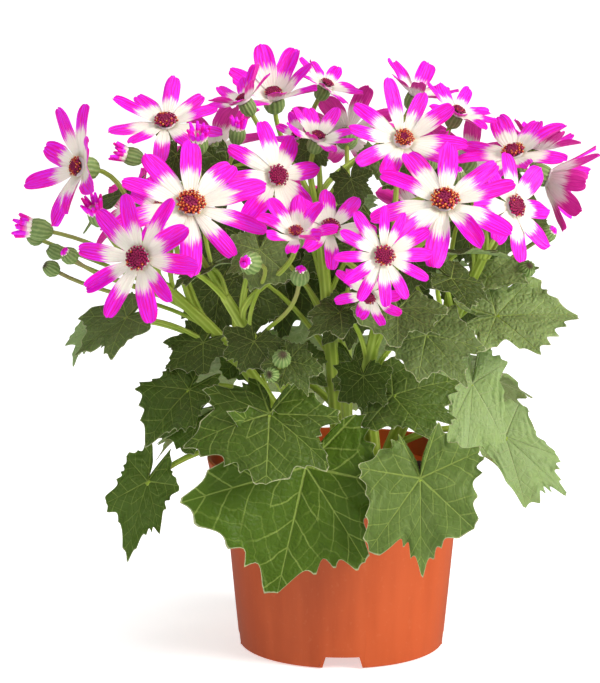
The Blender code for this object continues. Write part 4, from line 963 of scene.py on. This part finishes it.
def bud_rays(name, middle, way, radius, half_open):
    """Young rays in a ring in the cup: each is a narrow rolled spindle that leans out as it opens."""
    chance = random.Random(name)
    way = unit(way)
    side = unit(np.cross(way, (0.2, 0.3, 0.93)))
    other = np.cross(way, side)
    shapes = []
    count = 11 if half_open else 8
    for i in range(count):
        angle = 2 * math.pi * (i + chance.uniform(-0.2, 0.2)) / count
        away = math.cos(angle) * side + math.sin(angle) * other
        length = radius * (chance.uniform(1.7, 2.3) if half_open else chance.uniform(0.5, 0.7))
        lean = chance.uniform(0.2, 0.42) if half_open else -0.45
        start = np.array(middle, float) + way * radius * (0.1 if half_open else 0.55) + away * radius * 0.5
        end = start + way * length + away * length * lean
        line = bend(start, way + away * lean, end, way + away * (lean + 0.2), 9)
        widths = radius * 0.27 * np.sin(np.linspace(0.5, 2.8, 10)) ** 0.7
        points, faces, _ = rod(line, widths, 10)
        share = np.repeat(np.linspace(0, 1, 12), 10)
        word = np.stack(np.broadcast_arrays(share, 0.0, chance.random()), -1)
        shapes.append((points, faces, {"ray": word, "sort": np.full_like(points, 0.3)}))
    return join_shapes(shapes)


cup_green = Finish("flower_cup", 0.55)
scale_up, scale_rib, _ = cup_green.words("scale")
fleck = cup_green.noise(cup_green.at(), 500.0, 3.0)
green = cup_green.mix((scale_rib * 0.35 + fleck).step(0.2, 0.9), CUP_GREEN, CUP_PALE)
cup_green.set(Base_Color=cup_green.mix((scale_up + fleck * 0.25).step(0.86, 1.1) * 0.8, green, CUP_TIP))
cup_green.bump(fleck + scale_rib * 0.4, 0.4, 0.0004)
for name in STEMS:
    cups = [head_cup(*bloom[:4]) for bloom in BLOOMS.values() if bloom[7] == name]
    cups += [bud_cup(*entry[:4]) for entry in BUDS.values() if entry[4] == name]
    add_piece(name + "_cups", join_shapes(cups), cup_green, "green", name)


# Rays
# Each head carries one ring of soft, satiny rays. A ray is strap-shaped, widest about its middle and grooved
# along its length, and two small notches cut its rounded tip. It is cream inside and hot magenta outside,
# and the two meet in ragged streaks. The underside is paler.

RAY_ROWS = 18
RAY_COLUMNS = 11
RAY_THICKNESS = 0.36
RAY_WIDTH = 0.70
ALTERNATE_TILT = 7.0
BASE_SHARE = 0.50
GROOVE = 0.16
CREAM = (0.93, 0.85, 0.75, 1.0)
CREAM_SHADE = (0.86, 0.71, 0.60, 1.0)
CREAM_UNDER = (0.84, 0.70, 0.72, 1.0)
GREEN_THROAT = (0.74, 0.68, 0.46, 1.0)
MAGENTA = (0.92, 0.001, 0.44, 1.0)
MAGENTA_VIOLET = (0.84, 0.02, 0.86, 1.0)
MAGENTA_DEEP = (0.62, 0.0, 0.28, 1.0)
MAGENTA_UNDER = (0.80, 0.035, 0.44, 1.0)
MAGENTA_UNDER_DEEP = (0.56, 0.008, 0.26, 1.0)


def ray_draws(name, bloom):
    """What is drawn at random for each ray of a head, as columns that broadcast over (ray, row, column)."""
    _, _, _, radius, count, rise, curl = bloom[:7]
    chance = random.Random(name)
    extra = random.Random(name + "_detail")
    sector = 2 * math.pi / count
    phase = chance.uniform(0, sector)
    drawn = []
    for i in range(count):
        angle = phase + (i + chance.uniform(-0.07, 0.07)) * sector
        length = (radius - hub_radius(radius)) * (1 + chance.uniform(-0.12, 0.05))
        tilt = math.radians(rise + ALTERNATE_TILT * (-1) ** i + chance.uniform(-3, 3))
        bending = math.radians(curl + chance.uniform(-10, 10))
        twist = math.radians(chance.uniform(-12, 12))
        drawn.append((angle, length, tilt, bending, twist, extra.uniform(-0.20, 0.34), extra.random(),
                      extra.uniform(0, 6), extra.uniform(0.80, 1.06), extra.uniform(-0.16, 0.16)))
    return [np.array(column)[:, None, None] for column in zip(*drawn)]


def ray_shapes(name, bloom):
    """All the rays of a head, worked out together as arrays of (ray, row, column).

    A ray's middle line bends evenly from its tilt at the hub. Its half width grows as a quarter of a sine
    wave to near the middle, and narrows past it as the root of one less a power. The end of each column is
    cut back by the square of its distance from the middle, which rounds the tip, and by two bell curves,
    which are the notches.
    """
    middle, turn, lift, radius, count = bloom[:5]
    angle, length, tilt, bending, twist, hollow, luck, wave, girth, skew = ray_draws(name, bloom)
    hollow = hollow + 0.7 * (luck > 0.86)
    out, across, upward = face_frame(turn, lift)
    hub = hub_radius(radius)
    sector = 2 * math.pi / count
    half_width = RAY_WIDTH * math.pi * (hub + 0.6 * (radius - hub)) / count
    u = np.sin(math.pi / 2 * np.linspace(0, 1, RAY_ROWS))[None, :, None]
    v = np.linspace(-1, 1, RAY_COLUMNS)[None, None, :]
    tip = 0.045 * np.abs(v) ** 2 + 0.020 * np.exp(-(((np.abs(v) - 0.36) / 0.14) ** 2))
    s = u * (1 - tip)
    base = hub * math.sin(BASE_SHARE * sector) / half_width
    grow = base + (1 - base) * np.sin(math.pi / 2 * np.clip(s / 0.48, 0, 1))
    taper = np.sqrt(1 - 0.93 * np.clip((s - 0.58) / 0.42, 0, 1) ** 2.8)
    width = half_width * girth * grow * taper
    slope = (tilt + bending * s)[..., None]
    travel = tilt + bending * s / 2
    turned_by = (twist * s)[..., None]
    away = around(angle, across, upward)
    side = around(angle, upward, -across)
    normal = out * np.cos(slope) - away * np.sin(slope)
    edge = side * np.cos(turned_by) + normal * np.sin(turned_by)
    face = normal * np.cos(turned_by) - side * np.sin(turned_by)
    start = hub * math.cos(BASE_SHARE * sector)
    radial = start * (0.75 + 0.25 * np.clip(s * 6, 0, 1)) + (hub - start) * s + length * s * np.cos(travel)
    raised = length * s * np.sin(travel)
    place = np.array(middle, float) + away * radial[..., None] + out * raised[..., None]
    place = place + edge * (width * (v + skew * s * s))[..., None]
    groove = GROOVE * np.cos(3 * math.pi * v) * np.clip(s * 3, 0, 1)
    cupped = hollow * width * v * v * np.clip(s * 2.5, 0, 1) + 0.03 * length * s**3 * np.sin(2.6 * v + wave)
    ruffle = 0.25 * np.abs(v) ** 3 * np.sin(9 * s + wave)
    height = groove + cupped + ruffle
    half = RAY_THICKNESS / 2 * (1 - 0.45 * v * v)
    upper = (place + face * (height + half)[..., None]).reshape(count, -1, 3)
    lower = (place + face * (height - half)[..., None]).reshape(count, -1, 3)
    number = np.arange(RAY_ROWS * RAY_COLUMNS).reshape(RAY_ROWS, RAY_COLUMNS)
    border = np.concatenate((number[0], number[1:, -1], number[-1, -2::-1], number[-2:0:-1, 0]))
    following = np.roll(border, -1)
    rim = np.stack((following, border, border + number.size, following + number.size), -1)
    sheet = quads(RAY_ROWS, RAY_COLUMNS, wrap=False)
    sheets = np.concatenate((sheet, sheet[:, ::-1] + number.size, rim))
    points, faces = repeated(np.concatenate((upper, lower), 1), sheets)
    word = np.stack(np.broadcast_arrays(s, v, luck), -1).reshape(count, -1, 3)
    level = np.zeros_like(word)
    return points, faces, {
        "ray": np.concatenate((word, word), 1).reshape(-1, 3),
        "sort": np.concatenate((level, level + 1), 1).reshape(-1, 3),
    }


def hub_shape(bloom):
    """The small round plate that the rays grow from."""
    middle, turn, lift, radius = bloom[:4]
    out, across, upward = face_frame(turn, lift)
    hub = hub_radius(radius)
    levels = [(0, -HUB / 2), (0.8 * hub, -HUB / 2), (0.88 * hub, 0), (0.8 * hub, HUB / 2), (0, HUB / 2)]
    plate = turned(levels, 40)
    grid = np.array(middle, float) + plate[..., :1] * across + plate[..., 1:2] * upward + plate[..., 2:] * out
    return closed(grid, ray=np.zeros(3), sort=np.ones(3))


petal = Finish("ray_petal")
ray_up, ray_across, ray_luck = petal.words("ray")
beneath = petal.words("sort")[0]
thread = petal.noise(petal.place(ray_up * 1.2, ray_across * 5.0, ray_luck * 40.0), 2.2, 4.0)
hair = petal.noise(petal.place(ray_up * 2.0, ray_across * 16.0, ray_luck * 40.0), 2.0, 3.0)
line = ((ray_across * 3.0 + (thread - 0.5) * 0.6 + ray_luck * 3.0) * 2 * math.pi).math("SINE")
ragged = (thread - 0.5) * 0.50 + (hair - 0.5) * 0.26 + (ray_luck - 0.5) * 0.16
front = ray_up + ragged + ray_across.size() * 0.10
violet = petal.mix((thread * 1.2 - hair * 0.3 - line * 0.05).step(0.36, 0.54), MAGENTA, MAGENTA_VIOLET)
streaks = (line * 0.20 + hair * 0.8 - ray_luck * 0.12).step(0.44, 0.64) * 0.7
magenta = petal.mix(streaks, violet, MAGENTA_DEEP)
ivory = petal.mix((hair * 0.8 + line * 0.12).step(0.40, 0.60) * 0.4, CREAM, CREAM_SHADE)
cream = petal.mix(ray_up.step(0.12, 0.0), ivory, GREEN_THROAT)
top = petal.mix(front.step(0.38, 0.54), cream, magenta)
under_magenta = petal.mix((hair + thread).step(0.8, 1.2) * 0.7, MAGENTA_UNDER, MAGENTA_UNDER_DEEP)
bottom = petal.mix(front.step(0.36, 0.58), CREAM_UNDER, under_magenta)
petal.set(
    Base_Color=petal.mix(beneath.step(0.4, 0.6), top, bottom),
    Roughness=0.5 - thread * 0.2,
    Specular_IOR_Level=0.2,
    Subsurface_Weight=0.25,
    Subsurface_Radius=(1.0, 0.5, 0.7),
    Subsurface_Scale=0.001,
)
petal.bump(hair * 0.6 + line * 0.25, 0.5, 0.0005)
for name, bloom in BLOOMS.items():
    shape = join_shapes([ray_shapes(name, bloom), hub_shape(bloom)])
    add_piece(name + "_petals", shape, petal, "rays", name + "_rays")
for name in STEMS:
    young = [bud_rays(key, *entry[:4]) for key, entry in BUDS.items()
             if entry[4] == name and key not in GREEN_BUDS]
    if young:
        add_piece(name + "_young_rays", join_shapes(young), petal, "rays", name)


# Discs
# A crowded dome of florets. The outer ones open first, as little five-pointed stars on dark tubes, and carry
# orange pollen when they are ripe. The inner ones are still closed, dark maroon and pointed.

FLORETS = 70
FLORET_ROWS = 6
FLORET_SIDES = 10
GRAIN_SIDES = 7
GOLDEN_ANGLE = math.radians(137.508)
# The share of a disc's open florets that carry pollen. A riper disc has more of its florets open
RIPE = {"bloom_01": 0.9, "bloom_15": 0.9, "bloom_18": 0.7, "bloom_20": 0.5, "bloom_03": 0.5, "bloom_04": 0.3,
        "bloom_11": 0.4, "bloom_27": 0.8}
UNRIPE = 0.10
MAROON = (0.075, 0.002, 0.018, 1.0)
MAROON_TIP = (0.42, 0.004, 0.10, 1.0)
RIPE_RED = (0.60, 0.055, 0.010, 1.0)
POLLEN = (0.95, 0.58, 0.14, 1.0)


def disc_shape(name, bloom):
    """Florets on a golden-angle spiral over a low mound: closed spindles inside, flared stars outside.

    A floret leans out by the square of its share of the disc's radius. Its girth is a sine bulge while it is
    closed, and a tube that widens as a power where it is open, with five points as a cosine round its mouth.
    """
    middle, turn, lift, radius, _, rise = bloom[:6]
    chance = np.random.default_rng(sum(map(ord, name)))
    out, across, upward = face_frame(turn, lift)
    hub = hub_radius(radius)
    wide = hub * (1.12 if rise < 17 else 0.84)
    foot_level = np.array(middle, float) + out * (HUB / 2 + 0.3)
    number = np.arange(FLORETS)
    spread = np.sqrt((number + 0.5) / FLORETS)
    lean = np.radians(48) * spread**2
    away = around(number * GOLDEN_ANGLE, across, upward)
    way = around(lean, out, away)
    side = unit(np.cross(way, away + 0.01 * upward))
    other = np.cross(way, side)
    ripeness = RIPE.get(name, UNRIPE)
    opened = 0.60 - 0.16 * ripeness
    open_share = np.clip((spread - opened) / 0.12, 0, 1)[:, None, None]
    ripe = (spread > opened + 0.02) & (chance.uniform(0, 1, FLORETS) < ripeness)
    foot = foot_level + away * (0.78 * wide * spread)[:, None] * 0.9
    foot = foot + out * (hub * 0.30 * np.sqrt(1.02 - spread**2))[:, None]
    t = np.linspace(0, 1, FLORET_ROWS)[None, :, None]
    ring = 2 * math.pi * np.arange(FLORET_SIDES)[None, None, :] / FLORET_SIDES
    bulge = wide * 0.115 * (0.55 + 0.45 * np.sin(math.pi * np.clip(t * 1.05, 0, 1)))
    tube = wide * 0.07 * (0.8 + 3.8 * np.clip(t - 0.55, 0, 1) ** 1.2)
    star = 1 + 0.45 * np.clip((t - 0.6) / 0.22, 0, 1) * np.cos(5 * ring)
    girth = bulge * (1 - open_share) + tube * star * open_share
    girth = girth * (np.abs(t - 0.5) < 0.49) * chance.uniform(0.9, 1.1, (FLORETS, 1, 1))
    tall = hub * (0.26 + 0.20 * spread)[:, None, None] * chance.uniform(0.85, 1.15, (FLORETS, 1, 1))
    up = tall * (t - 0.22 * open_share * (t > 0.99))
    body = foot[:, None, None] + up[..., None] * way[:, None, None]
    body = body + girth[..., None] * around(ring, side[:, None, None], other[:, None, None])
    points, faces = repeated(body.reshape(FLORETS, -1, 3), quads(FLORET_ROWS, FLORET_SIDES))
    orange = 0.5 * ripe[:, None, None] * np.clip((t - 0.55) / 0.2, 0, 1)
    word = np.stack(np.broadcast_arrays(t, spread[:, None, None], orange + 0 * ring), -1)
    shapes = [(points, faces, {"floret": word.reshape(-1, 3)})]
    mound = turned([(0, 0), (0.9, 0), (1.0, 0.10), (0.9, 0.24), (0.6, 0.36), (0.3, 0.41), (0, 0.42)], 32)
    flat = mound[..., :1] * across + mound[..., 1:2] * upward
    mound = foot_level + 0.74 * wide * flat + mound[..., 2:] * hub * out
    shapes.append(closed(mound, floret=np.zeros(3)))
    laden = np.flatnonzero(ripe)
    if len(laden):
        grain = turned([(0, -1), (0.75, -0.6), (1, 0.1), (0.7, 0.75), (0, 1)], GRAIN_SIDES) * wide * 0.040
        tips = foot[laden] + way[laden] * (tall[laden, 0, 0] * 1.02)[:, None]
        grains = tips[:, None, None] + grain * chance.uniform(0.7, 1.3, (len(laden), 1, 1, 1))
        points, faces = repeated(grains.reshape(len(laden), -1, 3), quads(len(grain), GRAIN_SIDES))
        shapes.append((points, faces, {"floret": np.tile((0.0, 0.0, 1.0), (len(points), 1))}))
    return join_shapes(shapes)


maroon = Finish("disc_floret")
floret_up, floret_out, pollen = maroon.words("floret")
dust = maroon.noise(maroon.at(), 1500.0, 2.0)
dark = maroon.mix(floret_up.step(0.45, 1.0) * (0.4 + 0.6 * floret_out) * (0.6 + dust), MAROON, MAROON_TIP)
star_colour = maroon.mix(pollen.step(0.0, 0.5) * (0.5 + 0.7 * dust), dark, RIPE_RED)
maroon.set(Base_Color=maroon.mix(pollen.step(0.6, 1.0), star_colour, POLLEN), Specular_IOR_Level=0.35)
maroon.bump(dust, 0.3, 0.0003)
for name, bloom in BLOOMS.items():
    replaced = [name + "_disc"] if bloom[9] else []
    add_piece(name + "_florets", disc_shape(name, bloom), maroon, "disc", *replaced)
